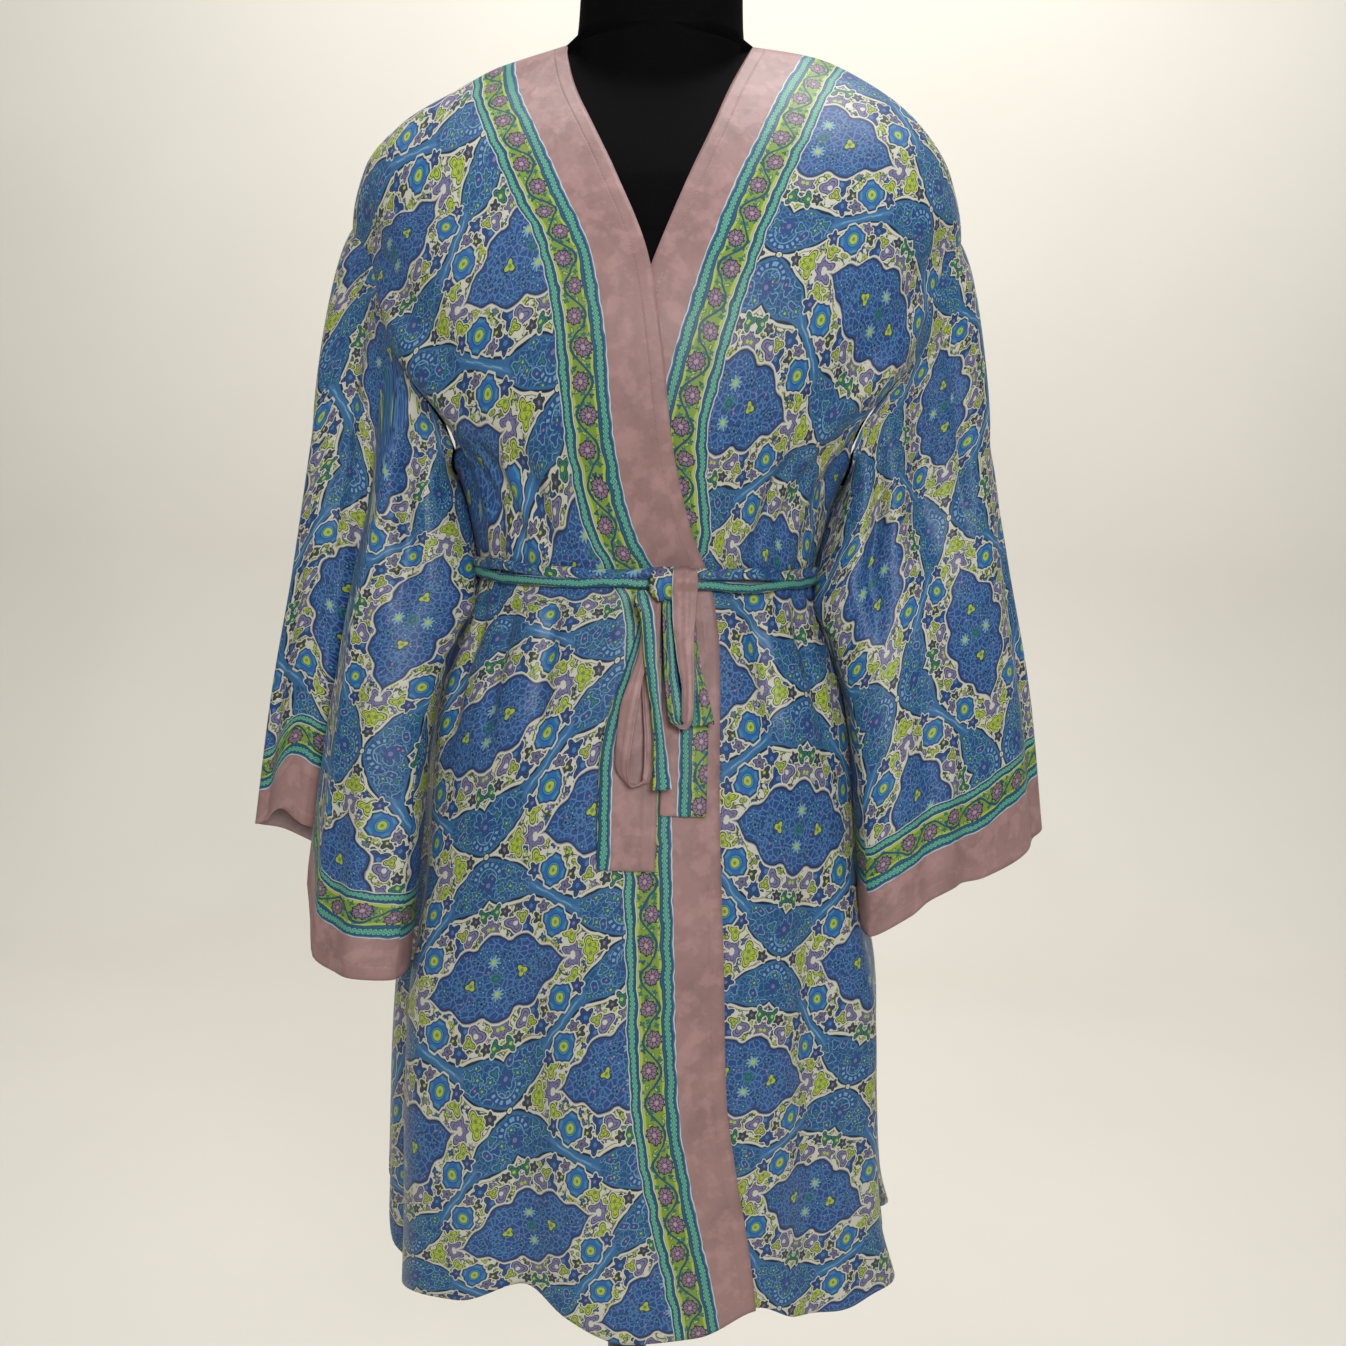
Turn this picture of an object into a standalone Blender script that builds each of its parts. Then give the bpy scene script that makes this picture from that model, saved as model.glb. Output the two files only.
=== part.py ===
"""A knee-length kimono robe with its sash, worn on a limbless dress form that stands on a pole and a round base.

Metres, +Z up. The robe's front faces -Y and its right sleeve as seen is at +X.
The origin is under the middle of the base, on the floor.
"""

import math

import bmesh
import bpy
from mathutils import Vector

# Cloth and seams
CLOTH = 0.0020          # thickness of a cloth wall
SEAM = 0.0003           # gap between pieces that are sewn together
LAP = 0.0030            # how far the lapped front stands out over the front below it
LAP_ANGLES = (-56, -34) # where the lapped front starts to stand out, and where it is fully out
SHOULDER_TOP = 1.427    # height of the robe at the side of the neck
SIDE = 90.0             # angle of the side seams; 0 is the front and 180 the back

# Armhole: an oval in the robe's body, between two steps of BODY
HOLE_MIDDLE = 7.0
HOLE_HALF = 2.0
HOLE_SEAM = 0.014       # how much further, in steps, the body's cloth is cut back from the sleeve
SEAM_HALF = 0.7         # half of the gap at the side seams, as a share of SEAM
SEAM_HALF_HOLE = 0.6    # and how much more of it round the armhole, where the edges run at a slant
HOLE_FRONT = 31.0       # degrees from the side seam to the hole's front
HOLE_BACK = 27.0
UNDERARM_OUT = 0.0030   # how far the sleeve's underarm lies outside the body's cloth
UNDERARM_FRONT = 85     # angle round the armhole where its underarm begins, in front
UNDERARM_BACK = 62      # and behind
UNDERARM_SPAN = 45      # over how many degrees it gets there
SHOULDER_WAY = 0.28     # share of a sleeve's length that is still shaped by the armhole
CUFF_SHAPE_START = 0.1  # from here the line round the sleeve changes to the cuff's
CUFF_SHAPE_SPAN = 0.5   # and over this share of the length
SLEEVE_SPREAD = 1.1     # above 1 the rows are closer together near the armhole

# Numbers of faces
ARM_FACES = 20          # round a sleeve, so half of them along each edge of an armhole
SLEEVE_ROWS = 13
FRONT_COLUMNS = 13
BACK_COLUMNS = 20
SKIRT_ROWS = 8
SHOULDER_STEPS = (0.05, 0.5, 1.0, 1.5, 2.0, 2.5, 3.0, 3.5, 4.0, 4.5)
WAIST_STEPS = (9.6, 10.2, 10.7, 11.0, 11.2, 11.7, 12.4, 13.2)


class Table:
    """Rows of numbers under named columns, read at any place along the first column by a smooth curve."""

    def __init__(self, columns, rows):
        self.columns = columns.split()
        self.places = [row[0] for row in rows]
        self.rows = rows

    def at(self, column, place):
        index = self.columns.index(column)
        places = self.places
        if place <= places[0]:
            return self.rows[0][index]
        if place >= places[-1]:
            return self.rows[-1][index]
        low = max(i for i in range(len(places) - 1) if places[i] <= place)
        width = places[low + 1] - places[low]
        t = (place - places[low]) / width
        start = self.rows[low][index]
        end = self.rows[low + 1][index]
        leave = self.slope(index, low) * width
        arrive = self.slope(index, low + 1) * width
        curve = (2 * t**3 - 3 * t**2 + 1) * start + (t**3 - 2 * t**2 + t) * leave
        return curve + (3 * t**2 - 2 * t**3) * end + (t**3 - t**2) * arrive

    def slope(self, index, i):
        """The curve's slope at a row: none at a peak, so that it never overshoots."""
        if i == 0 or i == len(self.rows) - 1:
            j = min(i, len(self.rows) - 2)
            return (self.rows[j + 1][index] - self.rows[j][index]) / (self.places[j + 1] - self.places[j])
        before = (self.rows[i][index] - self.rows[i - 1][index]) / (self.places[i] - self.places[i - 1])
        after = (self.rows[i + 1][index] - self.rows[i][index]) / (self.places[i + 1] - self.places[i])
        if before * after <= 0:
            return 0.0
        return 2 * before * after / (before + after)


# The robe's body in level sections, from the side of the neck down to the hem.
# left and right are the half widths, front and back the depths, round the corner power (2 is an ellipse),
# and sag how much lower the side at -X lies, because the robe hangs unevenly.
BODY = Table(
    "step height left right front back round sag",
    (
        (0, SHOULDER_TOP, 0.064, 0.064, 0.008, 0.062, 2.0, 0.002),
        (1, 1.4210, 0.108, 0.106, 0.016, 0.068, 2.0, 0.011),
        (2, 1.4040, 0.148, 0.146, 0.034, 0.075, 2.0, 0.016),
        (3, 1.3790, 0.181, 0.180, 0.058, 0.084, 2.0, 0.013),
        (4, 1.3430, 0.203, 0.204, 0.083, 0.093, 2.1, 0.006),
        (5, 1.3000, 0.211, 0.213, 0.105, 0.099, 2.1, 0.002),
        (6, 1.2550, 0.209, 0.212, 0.121, 0.101, 2.1, 0.0),
        (7, 1.2150, 0.198, 0.202, 0.127, 0.100, 2.1, 0.0),
        (8, 1.1700, 0.166, 0.168, 0.125, 0.097, 2.1, 0.0),
        (9, 1.1300, 0.136, 0.136, 0.116, 0.094, 2.1, 0.0),
        (10, 1.1000, 0.127, 0.127, 0.108, 0.092, 2.1, 0.0),
        (11, 1.0640, 0.121, 0.120, 0.100, 0.090, 2.1, 0.0),
        (12, 1.0300, 0.129, 0.129, 0.107, 0.099, 2.1, 0.0),
        (13, 0.9800, 0.147, 0.147, 0.121, 0.115, 2.1, 0.0),
        (14, 0.9200, 0.157, 0.157, 0.131, 0.128, 2.1, 0.0),
        (15, 0.8500, 0.164, 0.164, 0.137, 0.133, 2.1, 0.0),
        (16, 0.7600, 0.179, 0.180, 0.139, 0.134, 2.1, 0.0),
        (17, 0.6800, 0.183, 0.184, 0.139, 0.134, 2.1, 0.0),
        (18, 0.6000, 0.184, 0.190, 0.138, 0.134, 2.1, 0.0),
        (19, 0.5400, 0.186, 0.206, 0.139, 0.137, 2.1, 0.0),
        (20, 0.4900, 0.188, 0.210, 0.140, 0.139, 2.1, 0.0),
    ),
)

# Front edges: how far from the middle each front's edge is at a height
OVER_EDGE = Table(
    "height across",
    (
        (0.490, 0.092),
        (0.559, 0.090),
        (0.612, 0.083),
        (0.671, 0.072),
        (0.722, 0.064),
        (0.815, 0.059),
        (0.919, 0.053),
        (1.020, 0.050),
        (1.064, 0.043),
        (1.100, 0.029),
        (1.155, 0.016),
        (1.210, 0.009),
        (1.266, -0.001),
        (1.325, -0.025),
        (1.357, -0.040),
        (1.390, -0.054),
        (1.427, -0.064),
    ),
)
UNDER_EDGE = Table(
    "height across",
    (
        (0.490, 0.014),
        (0.671, -0.010),
        (0.919, -0.040),
        (1.064, -0.052),
        (1.155, -0.036),
        (1.210, -0.018),
        (1.266, 0.001),
        (1.325, 0.023),
        (1.357, 0.036),
        (1.390, 0.048),
        (1.427, 0.064),
    ),
)

# Hems: the height of each panel's lower edge at an angle, with rounded corners at the side slits
FRONT_HEM = Table(
    "angle height",
    (
        (-90, 0.618),
        (-84, 0.580),
        (-76, 0.552),
        (-64, 0.546),
        (-50, 0.556),
        (-37, 0.562),
        (-22, 0.580),
        (-12, 0.566),
        (2, 0.552),
        (14, 0.554),
        (27, 0.569),
        (36, 0.554),
        (48, 0.547),
        (62, 0.553),
        (76, 0.556),
        (84, 0.572),
        (90, 0.618),
    ),
)
BACK_HEM = Table(
    "angle height",
    (
        (90, 0.622),
        (98, 0.578),
        (112, 0.548),
        (140, 0.535),
        (180, 0.530),
        (220, 0.535),
        (248, 0.550),
        (262, 0.588),
        (270, 0.634),
    ),
)

# Folds of the body: a soft trough (depth below 0) or ridge that runs from a top to a foot.
# angle_top and angle_foot place it, width is its half width in degrees, and depth is how far it goes out.
FOLDS = Table(
    "number angle_top angle_foot top foot width depth",
    (
        (1, -72, -64, 1.33, 1.07, 7.0, -0.013),
        (2, -56, -50, 1.30, 1.08, 7.0, 0.006),
        (3, 70, 60, 1.32, 1.08, 7.0, -0.011),
        (4, 52, 47, 1.28, 1.08, 7.0, 0.006),
        (5, -73, -70, 0.98, 0.52, 7.0, -0.012),
        (6, -54, -50, 0.94, 0.52, 8.0, 0.006),
        (7, -26, -22, 0.86, 0.52, 8.0, -0.011),
        (8, -8, -2, 0.92, 0.52, 9.0, 0.004),
        (9, 46, 42, 0.92, 0.52, 8.0, -0.007),
        (10, 60, 66, 0.90, 0.52, 8.0, 0.008),
        (11, 78, 80, 0.80, 0.52, 6.0, -0.006),
        (12, 108, 104, 0.95, 0.52, 9.0, 0.010),
        (13, 128, 126, 0.92, 0.52, 9.0, -0.010),
        (14, 152, 150, 0.95, 0.52, 9.0, 0.009),
        (15, 178, 176, 0.92, 0.52, 9.0, -0.010),
        (16, 204, 206, 0.95, 0.52, 9.0, 0.009),
        (17, 230, 232, 0.92, 0.52, 9.0, -0.009),
        (18, 254, 258, 0.95, 0.52, 9.0, 0.011),
        (19, 120, 126, 1.30, 1.08, 9.0, -0.008),
        (20, 240, 234, 1.30, 1.08, 9.0, -0.008),
    ),
)

# The run of each sleeve's middle from armhole to cuff. out is the distance from the robe's middle,
# ahead how far it hangs forward, long and short its half widths, turn how far its inner end swings forward,
# and tilt how much higher its outer edge is than its middle.
LEFT_RUN = Table(
    "way height out ahead long short turn tilt",
    (
        (0.00, 1.215, 0.1880, 0.002, 0.036, 0.056, 0, 0.080),
        (0.12, 1.172, 0.1890, 0.005, 0.048, 0.050, 6, 0.078),
        (0.28, 1.105, 0.1870, 0.012, 0.056, 0.042, 14, 0.068),
        (0.50, 1.015, 0.2030, 0.021, 0.058, 0.037, 26, 0.060),
        (0.75, 0.915, 0.2180, 0.026, 0.067, 0.035, 31, 0.052),
        (1.00, 0.817, 0.2300, 0.032, 0.069, 0.035, 33, 0.048),
    ),
)
RIGHT_RUN = Table(
    "way height out ahead long short turn tilt",
    (
        (0.00, 1.215, 0.1880, 0.002, 0.036, 0.056, 0, 0.080),
        (0.12, 1.175, 0.1890, 0.005, 0.048, 0.050, 6, 0.078),
        (0.28, 1.112, 0.1860, 0.012, 0.057, 0.043, 14, 0.066),
        (0.50, 1.032, 0.2030, 0.021, 0.062, 0.039, 24, 0.056),
        (0.75, 0.938, 0.2200, 0.024, 0.074, 0.037, 28, 0.045),
        (1.00, 0.845, 0.2360, 0.026, 0.074, 0.037, 29, 0.040),
    ),
)

# The line round each sleeve, from its outer edge over its front to its inner edge and back,
# near the top and at the cuff: along its width, across its depth, and how far the cuff hangs down.
LEFT_LOOP = Table(
    "angle along_top across_top along_cuff across_cuff drop",
    (
        (0, 1.00, 0.00, 1.00, 0.00, 0.000),
        (30, 0.82, 0.50, 0.74, 0.48, 0.020),
        (60, 0.50, 0.55, 0.38, 0.42, 0.050),
        (90, 0.22, 0.48, 0.06, 0.32, 0.050),
        (120, -0.05, 0.95, -0.26, 0.98, -0.014),
        (150, -0.55, 0.85, -0.72, 0.98, 0.003),
        (180, -1.00, 0.30, -1.06, 0.50, 0.018),
        (210, -0.90, -0.35, -0.94, -0.20, 0.014),
        (240, -0.50, -0.75, -0.50, -0.58, 0.010),
        (270, 0.00, -0.95, 0.00, -0.72, 0.008),
        (300, 0.50, -0.75, 0.45, -0.66, 0.008),
        (330, 0.86, -0.45, 0.82, -0.42, 0.004),
        (360, 1.00, 0.00, 1.00, 0.00, 0.000),
    ),
)
RIGHT_LOOP = Table(
    "angle along_top across_top along_cuff across_cuff drop",
    (
        (0, 1.00, 0.00, 1.00, 0.00, 0.000),
        (30, 0.84, 0.55, 0.82, 0.46, 0.000),
        (60, 0.52, 0.72, 0.46, 0.72, 0.002),
        (90, 0.16, 0.35, 0.05, 0.78, 0.009),
        (120, -0.25, 0.85, -0.38, 0.86, 0.020),
        (150, -0.68, 0.80, -0.76, 0.78, 0.020),
        (180, -1.00, 0.25, -1.00, 0.35, 0.015),
        (210, -0.88, -0.40, -0.88, -0.35, 0.019),
        (240, -0.50, -0.78, -0.50, -0.66, 0.004),
        (270, 0.00, -0.95, 0.00, -0.78, 0.002),
        (300, 0.50, -0.78, 0.48, -0.66, 0.000),
        (330, 0.86, -0.45, 0.84, -0.40, 0.000),
        (360, 1.00, 0.00, 1.00, 0.00, 0.000),
    ),
)

# The sash round the waist, and what hangs from its knot
SASH_HEIGHT = 0.015
SASH_THICK = 0.0030
SASH_COLUMNS = 48
SASH_LAP_END = 34        # the sash comes back in past the lapped front's edge, from this angle
SASH_LAP_SPAN = 24       # over this many degrees
WAIST = 1.0660
KNOT_ACROSS = 0.0130
KNOT_SIZE = (0.027, 0.013, 0.022)
KNOT_LIFT = 0.0114       # from the robe to the knot's middle
STRAP_THICK = 0.0022
STRAP_TOP = WAIST - 0.002 - KNOT_SIZE[2] / 2 - SEAM
TAILS = Table(
    "tail foot top_left top_right foot_left foot_right",
    (
        (1, 0.880, 0.0000, 0.0120, -0.0250, 0.0130),
        (2, 0.916, 0.0140, 0.0260, 0.0150, 0.0450),
    ),
)
TAIL_LIFT = 0.0016
TAIL_KNOT_LIFT = 0.0060
BOW_LEFT = Table(
    "way across height lift width turn",
    (
        (0.00, 0.0090, STRAP_TOP, 0.0140, 0.010, 5),
        (0.15, 0.0030, 1.025, 0.0155, 0.016, 15),
        (0.32, -0.0070, 0.985, 0.0160, 0.018, 20),
        (0.43, -0.0100, 0.953, 0.0150, 0.017, 50),
        (0.50, -0.0010, 0.934, 0.0135, 0.015, 90),
        (0.57, 0.0130, 0.930, 0.0125, 0.014, 125),
        (0.64, 0.0190, 0.945, 0.0115, 0.014, 150),
        (0.76, 0.0150, 0.985, 0.0100, 0.013, 170),
        (0.88, 0.0100, 1.022, 0.0098, 0.012, 176),
        (1.00, 0.0070, STRAP_TOP, 0.0098, 0.010, 180),
    ),
)
BOW_RIGHT = Table(
    "way across height lift width turn",
    (
        (0.00, 0.0205, STRAP_TOP, 0.0145, 0.009, 0),
        (0.18, 0.0270, 1.030, 0.0168, 0.014, 0),
        (0.38, 0.0290, 0.992, 0.0165, 0.012, 0),
        (0.47, 0.0300, 0.9768, 0.0158, 0.009, 0),
        (0.50, 0.0300, 0.9750, 0.0135, 0.009, 0),
        (0.53, 0.0300, 0.9768, 0.0112, 0.009, 0),
        (0.62, 0.0295, 0.992, 0.0106, 0.009, 0),
        (0.82, 0.0270, 1.028, 0.0102, 0.009, 0),
        (1.00, 0.0215, STRAP_TOP, 0.0102, 0.009, 0),
    ),
)

# The dress form: level sections of neck and torso
FORM = Table(
    "height side front back power",
    (
        (0.7200, 0.142, 0.112, 0.110, 2.1),
        (0.7300, 0.148, 0.118, 0.116, 2.1),
        (0.8500, 0.149, 0.122, 0.122, 2.1),
        (0.9200, 0.144, 0.118, 0.118, 2.1),
        (0.9800, 0.135, 0.109, 0.105, 2.1),
        (1.0300, 0.122, 0.099, 0.092, 2.1),
        (1.0640, 0.115, 0.094, 0.085, 2.1),
        (1.1000, 0.120, 0.101, 0.087, 2.1),
        (1.1500, 0.134, 0.113, 0.090, 2.1),
        (1.2000, 0.148, 0.119, 0.094, 2.1),
        (1.2500, 0.160, 0.112, 0.095, 2.1),
        (1.2900, 0.173, 0.098, 0.092, 2.1),
    ),
)
NECK_FOOT = 1.4300
NECK = Table(
    "height side front back power",
    (
        (NECK_FOOT, 0.0575, 0.044, 0.054, 2.0),
        (1.4400, 0.0565, 0.044, 0.053, 2.0),
        (1.4620, 0.0555, 0.044, 0.052, 2.0),
        (1.4780, 0.0550, 0.044, 0.052, 2.0),
    ),
)
SHOULDER_CLEAR = 0.0022  # from the middle of the robe's cloth down to the shoulders it lies on
FORM_SIDES = 28
CAP_RISE = 0.012
POLE_RADIUS = 0.0150
POLE_FOOT = 0.0400
BASE_RADIUS = 0.1800
BASE_THICK = 0.0160
HUB_RADIUS = 0.0350
ROUND_SIDES = 32


def ease(t):
    """A smooth step from 0 to 1."""
    t = min(1.0, max(0.0, t))
    return t * t * (3 - 2 * t)


def step_at(height):
    """The step of BODY at a height."""
    low, high = 0.0, 20.0
    for _ in range(40):
        middle = (low + high) / 2
        if BODY.at("height", middle) > height:
            low = middle
        else:
            high = middle
    return (low + high) / 2


def fold_depth(angle, height):
    """How far the folds push the cloth out at a place."""
    total = 0.0
    for number, angle_top, angle_foot, top, foot, width, depth in FOLDS.rows:
        way = (top - height) / (top - foot)
        if way <= 0:
            continue
        strength = ease(way * 2) if foot < 0.6 else math.sin(math.pi * min(1.0, way)) ** 2
        centre = angle_top + (angle_foot - angle_top) * min(1.0, way)
        turned = (angle - centre + 180) % 360 - 180
        total += depth * strength * math.exp(-((turned / width) ** 2))
    return total


def section_point(angle, step, push):
    """A point on the robe's body at an angle round it, pushed outwards."""
    turn = math.radians(angle)
    across, ahead = math.sin(turn), math.cos(turn)
    power = BODY.at("round", step)
    scale = (abs(across) ** power + abs(ahead) ** power) ** (-1 / power)
    reach = BODY.at("right" if across > 0 else "left", step)
    depth = BODY.at("front" if ahead > 0 else "back", step)
    x, y = reach * across * scale, -depth * ahead * scale
    way_out = Vector((x / reach**2, y / depth**2, 0)).normalized()
    sag = BODY.at("sag", step) * max(0.0, -across)
    return Vector((x, y, BODY.at("height", step) - sag)) + way_out * push


def lap_out(angle):
    """How far the lapped front stands out at an angle."""
    start, end = LAP_ANGLES
    return LAP * ease((angle - start) / (end - start))


def body_point(angle, step, lapped=False):
    """A point in the middle of the body's cloth. The lapped front stands out over the other."""
    push = fold_depth(angle, BODY.at("height", step)) + (lap_out(angle) if lapped else 0.0)
    return section_point(angle, step, push)


def normal_of(place, a, b, small_a, small_b):
    """The outward direction of a surface, from points close by."""
    along = place(a + small_a, b) - place(a - small_a, b)
    down = place(a, b + small_b) - place(a, b - small_b)
    return down.cross(along).normalized()


def body_normal(angle, step, lapped=False):
    step = min(19.98, max(0.04, step))
    normal = normal_of(lambda a, s: body_point(a, s, lapped), angle, step, 0.5, 0.02)
    outward = section_point(angle, step, 0.01) - section_point(angle, step, 0.0)
    return normal if normal.dot(outward) > 0 else -normal


def angle_at(across, step):
    """The angle on the front at which the body's section is a distance from the middle."""
    low, high = -SIDE, SIDE
    for _ in range(40):
        middle = (low + high) / 2
        if section_point(middle, step, 0.0).x < across:
            low = middle
        else:
            high = middle
    return (low + high) / 2


def hole_share(step, half):
    """How wide the armhole's oval is at a step, as a share of its full width."""
    return math.sqrt(max(0.0, 1 - ((step - HOLE_MIDDLE) / half) ** 2))


def row_step(row, hem_step):
    """The step of a panel's row: shoulder, corners of the armhole, waist, then evenly down to the hem."""
    if row < len(SHOULDER_STEPS):
        return SHOULDER_STEPS[row]
    row -= len(SHOULDER_STEPS)
    if row <= ARM_FACES // 2:
        return HOLE_MIDDLE - (HOLE_HALF + HOLE_SEAM) * math.cos(2 * math.pi * row / ARM_FACES)
    row -= ARM_FACES // 2 + 1
    if row < len(WAIST_STEPS):
        return WAIST_STEPS[row]
    share = (row - len(WAIST_STEPS) + 1) / SKIRT_ROWS
    return WAIST_STEPS[-1] + (hem_step - WAIST_STEPS[-1]) * share


PANEL_ROWS = len(SHOULDER_STEPS) + ARM_FACES // 2 + len(WAIST_STEPS) + SKIRT_ROWS


def seam_angle(step, depth, hole):
    """The angle from the side seam to a panel's edge: the seam's gap, or the armhole as well."""
    share = hole_share(step, HOLE_HALF + HOLE_SEAM)
    gap = SEAM * (SEAM_HALF + SEAM_HALF_HOLE * share)
    return math.degrees(gap / BODY.at(depth, step)) + hole * share


def front_place(side, lapped, edge):
    """The place of a front panel's points. side is -1 for the panel at -X and 1 for the one at +X."""

    def place(row, column):
        share = column / FRONT_COLUMNS
        hem_step = 20.0
        for _ in range(3):
            step = row_step(row, hem_step)
            start = side * (SIDE - seam_angle(step, "front", HOLE_FRONT))
            end = angle_at(edge.at("across", BODY.at("height", step)), step)
            angle = start + (end - start) * share
            hem_step = step_at(FRONT_HEM.at("height", angle))
        return body_point(angle, step, lapped), body_normal(angle, step, lapped)

    return place


def back_place(row, column):
    """The place of the back panel's points, from the side at +X round to the side at -X."""
    share = column / BACK_COLUMNS
    hem_step = 20.0
    for _ in range(3):
        step = row_step(row, hem_step)
        trim = seam_angle(step, "back", HOLE_BACK)
        angle = SIDE + trim + (180 - 2 * trim) * share
        hem_step = step_at(BACK_HEM.at("height", angle))
    return body_point(angle, step), body_normal(angle, step)


def armhole_spot(side, angle):
    """The angle and step of the body at a place round the armhole, 0 at its top and 90 at its front."""
    turn = math.radians(angle)
    hole = HOLE_FRONT if math.sin(turn) > 0 else HOLE_BACK
    return side * (SIDE - hole * math.sin(turn)), HOLE_MIDDLE - HOLE_HALF * math.cos(turn)


def underarm(angle):
    """How much a place round the armhole belongs to the underarm, where the cloth turns back on itself."""
    start = UNDERARM_FRONT if angle % 360 < 180 else UNDERARM_BACK
    return ease((abs((angle + 180) % 360 - 180) - start) / UNDERARM_SPAN)


def sleeve_point(side, run, loop, angle, way):
    """A point of a sleeve, angle 0 at its outer edge and 90 at its front."""
    spot = armhole_spot(side, angle)
    rim = body_point(*spot) + body_normal(*spot) * (UNDERARM_OUT * underarm(angle))
    blend = ease(way / SHOULDER_WAY)
    shape = ease((way - CUFF_SHAPE_START) / CUFF_SHAPE_SPAN)
    along = loop.at("along_top", angle) * (1 - shape) + loop.at("along_cuff", angle) * shape
    across = loop.at("across_top", angle) * (1 - shape) + loop.at("across_cuff", angle) * shape
    swing = math.radians(run.at("turn", way))
    long_way, short_way = run.at("long", way) * along, run.at("short", way) * across
    out = run.at("out", way) + long_way * math.cos(swing) + short_way * math.sin(swing)
    y = -run.at("ahead", way) + long_way * math.sin(swing) - short_way * math.cos(swing)
    z = run.at("height", way) + run.at("tilt", way) * along + loop.at("drop", angle) * way**2
    return rim.lerp(Vector((side * out, y, z)), blend)


def sleeve_place(side, run, loop):
    def point(angle, way):
        return sleeve_point(side, run, loop, angle % 360, way)

    def place(row, column):
        angle = 360.0 * column / ARM_FACES
        way = (row / SLEEVE_ROWS) ** SLEEVE_SPREAD
        normal = normal_of(point, angle, max(0.04, way), 4.0, 0.01) * -side
        if row == 0:
            normal = (normal + body_normal(*armhole_spot(side, angle)) * 1.5 * (1 - underarm(angle))).normalized()
        return point(angle, way), normal

    return place


def material(name, color, roughness, sheen=0.0):
    """A plain material."""
    made = bpy.data.materials.new(name)
    made.use_nodes = True
    shader = made.node_tree.nodes["Principled BSDF"]
    shader.inputs["Base Color"].default_value = (*color, 1.0)
    shader.inputs["Roughness"].default_value = roughness
    shader.inputs["Metallic"].default_value = 0.0
    shader.inputs["Sheen Weight"].default_value = sheen
    return made


def finish(name, mesh_maker, look):
    """Turn a bmesh into a named object with one material."""
    bmesh.ops.recalc_face_normals(mesh_maker, faces=mesh_maker.faces)
    mesh = bpy.data.meshes.new(name)
    mesh_maker.to_mesh(mesh)
    mesh_maker.free()
    mesh.shade_smooth()
    mesh.set_sharp_from_angle(angle=math.radians(50))
    mesh.materials.append(look)
    made = bpy.data.objects.new(name, mesh)
    bpy.context.scene.collection.objects.link(made)
    return made


def wall(name, rows, columns, place, thick, look, closed=False):
    """A cloth wall: two grids, half a thickness to each side of place(row, column), joined at their rims."""
    maker = bmesh.new()
    spots = [place(row, column) for row in range(rows + 1) for column in range(columns + 1)]
    layers = []
    for side in (0.5, -0.5):
        grid = bmesh.ops.create_grid(maker, x_segments=columns, y_segments=rows, size=1.0)["verts"]
        for vertex, (point, normal) in zip(grid, spots):
            vertex.co = point + normal * (side * thick)
        if closed:
            starts = range(0, len(grid), columns + 1)
            bmesh.ops.weld_verts(maker, targetmap={grid[start + columns]: grid[start] for start in starts})
            for start in starts:
                grid[start + columns] = grid[start]
        layers.append(grid)
    inner_of = dict(zip(*layers))
    for edge in [edge for edge in maker.edges if edge.is_boundary and edge.verts[0] in inner_of]:
        first, second = edge.verts
        maker.faces.new((first, second, inner_of[second], inner_of[first]))
    return finish(name, maker, look)


def skin(across, height):
    """The outer face of the lapped front at a distance from the middle and a height."""
    step = step_at(height)
    angle = angle_at(across, step)
    return body_point(angle, step, True) + body_normal(angle, step, True) * CLOTH / 2


def skin_y(across, height):
    """How far forward anything must stay to clear the lapped front near a place."""
    return min(skin(across + shift, height).y for shift in (-0.012, 0.0, 0.012))


def make_fronts(cloth):
    left = front_place(-1, True, OVER_EDGE)
    right = front_place(1, False, UNDER_EDGE)
    wall("front_over", PANEL_ROWS, FRONT_COLUMNS, left, CLOTH, cloth)
    wall("front_under", PANEL_ROWS, FRONT_COLUMNS, right, CLOTH, cloth)


def make_back(cloth):
    wall("back", PANEL_ROWS, BACK_COLUMNS, back_place, CLOTH, cloth)


def make_sleeves(cloth):
    left = sleeve_place(-1, LEFT_RUN, LEFT_LOOP)
    right = sleeve_place(1, RIGHT_RUN, RIGHT_LOOP)
    wall("sleeve_left", SLEEVE_ROWS, ARM_FACES, left, CLOTH, cloth, closed=True)
    wall("sleeve_right", SLEEVE_ROWS, ARM_FACES, right, CLOTH, cloth, closed=True)


def make_sash_band(cloth):
    """The wound sash: a flat ring that lies on the robe at the waist."""
    def place(row, column):
        angle = 360.0 * column / SASH_COLUMNS - 180
        lap = lap_out(angle) * (1 - ease((angle - SASH_LAP_END) / SASH_LAP_SPAN))
        outward = (section_point(angle, step_at(WAIST), 0.01) - section_point(angle, step_at(WAIST), 0.0)) * 100
        under = [body_point(angle, step_at(WAIST + SASH_HEIGHT * share)) for share in (-0.55, 0.0, 0.55)]
        widest = max(under, key=outward.dot)
        spot = widest + outward * (lap + CLOTH / 2 + SEAM + SASH_THICK / 2)
        spot.z = WAIST + SASH_HEIGHT * (0.5 - row)
        return spot, outward

    wall("sash_band", 1, SASH_COLUMNS, place, SASH_THICK, cloth, closed=True)


def make_knot(cloth):
    """The knot: a small rounded block in front of the sash."""
    maker = bmesh.new()
    bmesh.ops.create_cube(maker, size=1.0)
    bmesh.ops.bevel(maker, geom=maker.edges[:], offset=0.2, segments=2, profile=0.5, affect="EDGES", material=-1)
    middle = Vector((KNOT_ACROSS, skin_y(KNOT_ACROSS, WAIST) - KNOT_LIFT, WAIST - 0.002))
    for vertex in maker.verts:
        vertex.co = middle + Vector(a * b for a, b in zip(vertex.co, KNOT_SIZE))
    finish("sash_knot", maker, cloth)


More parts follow.
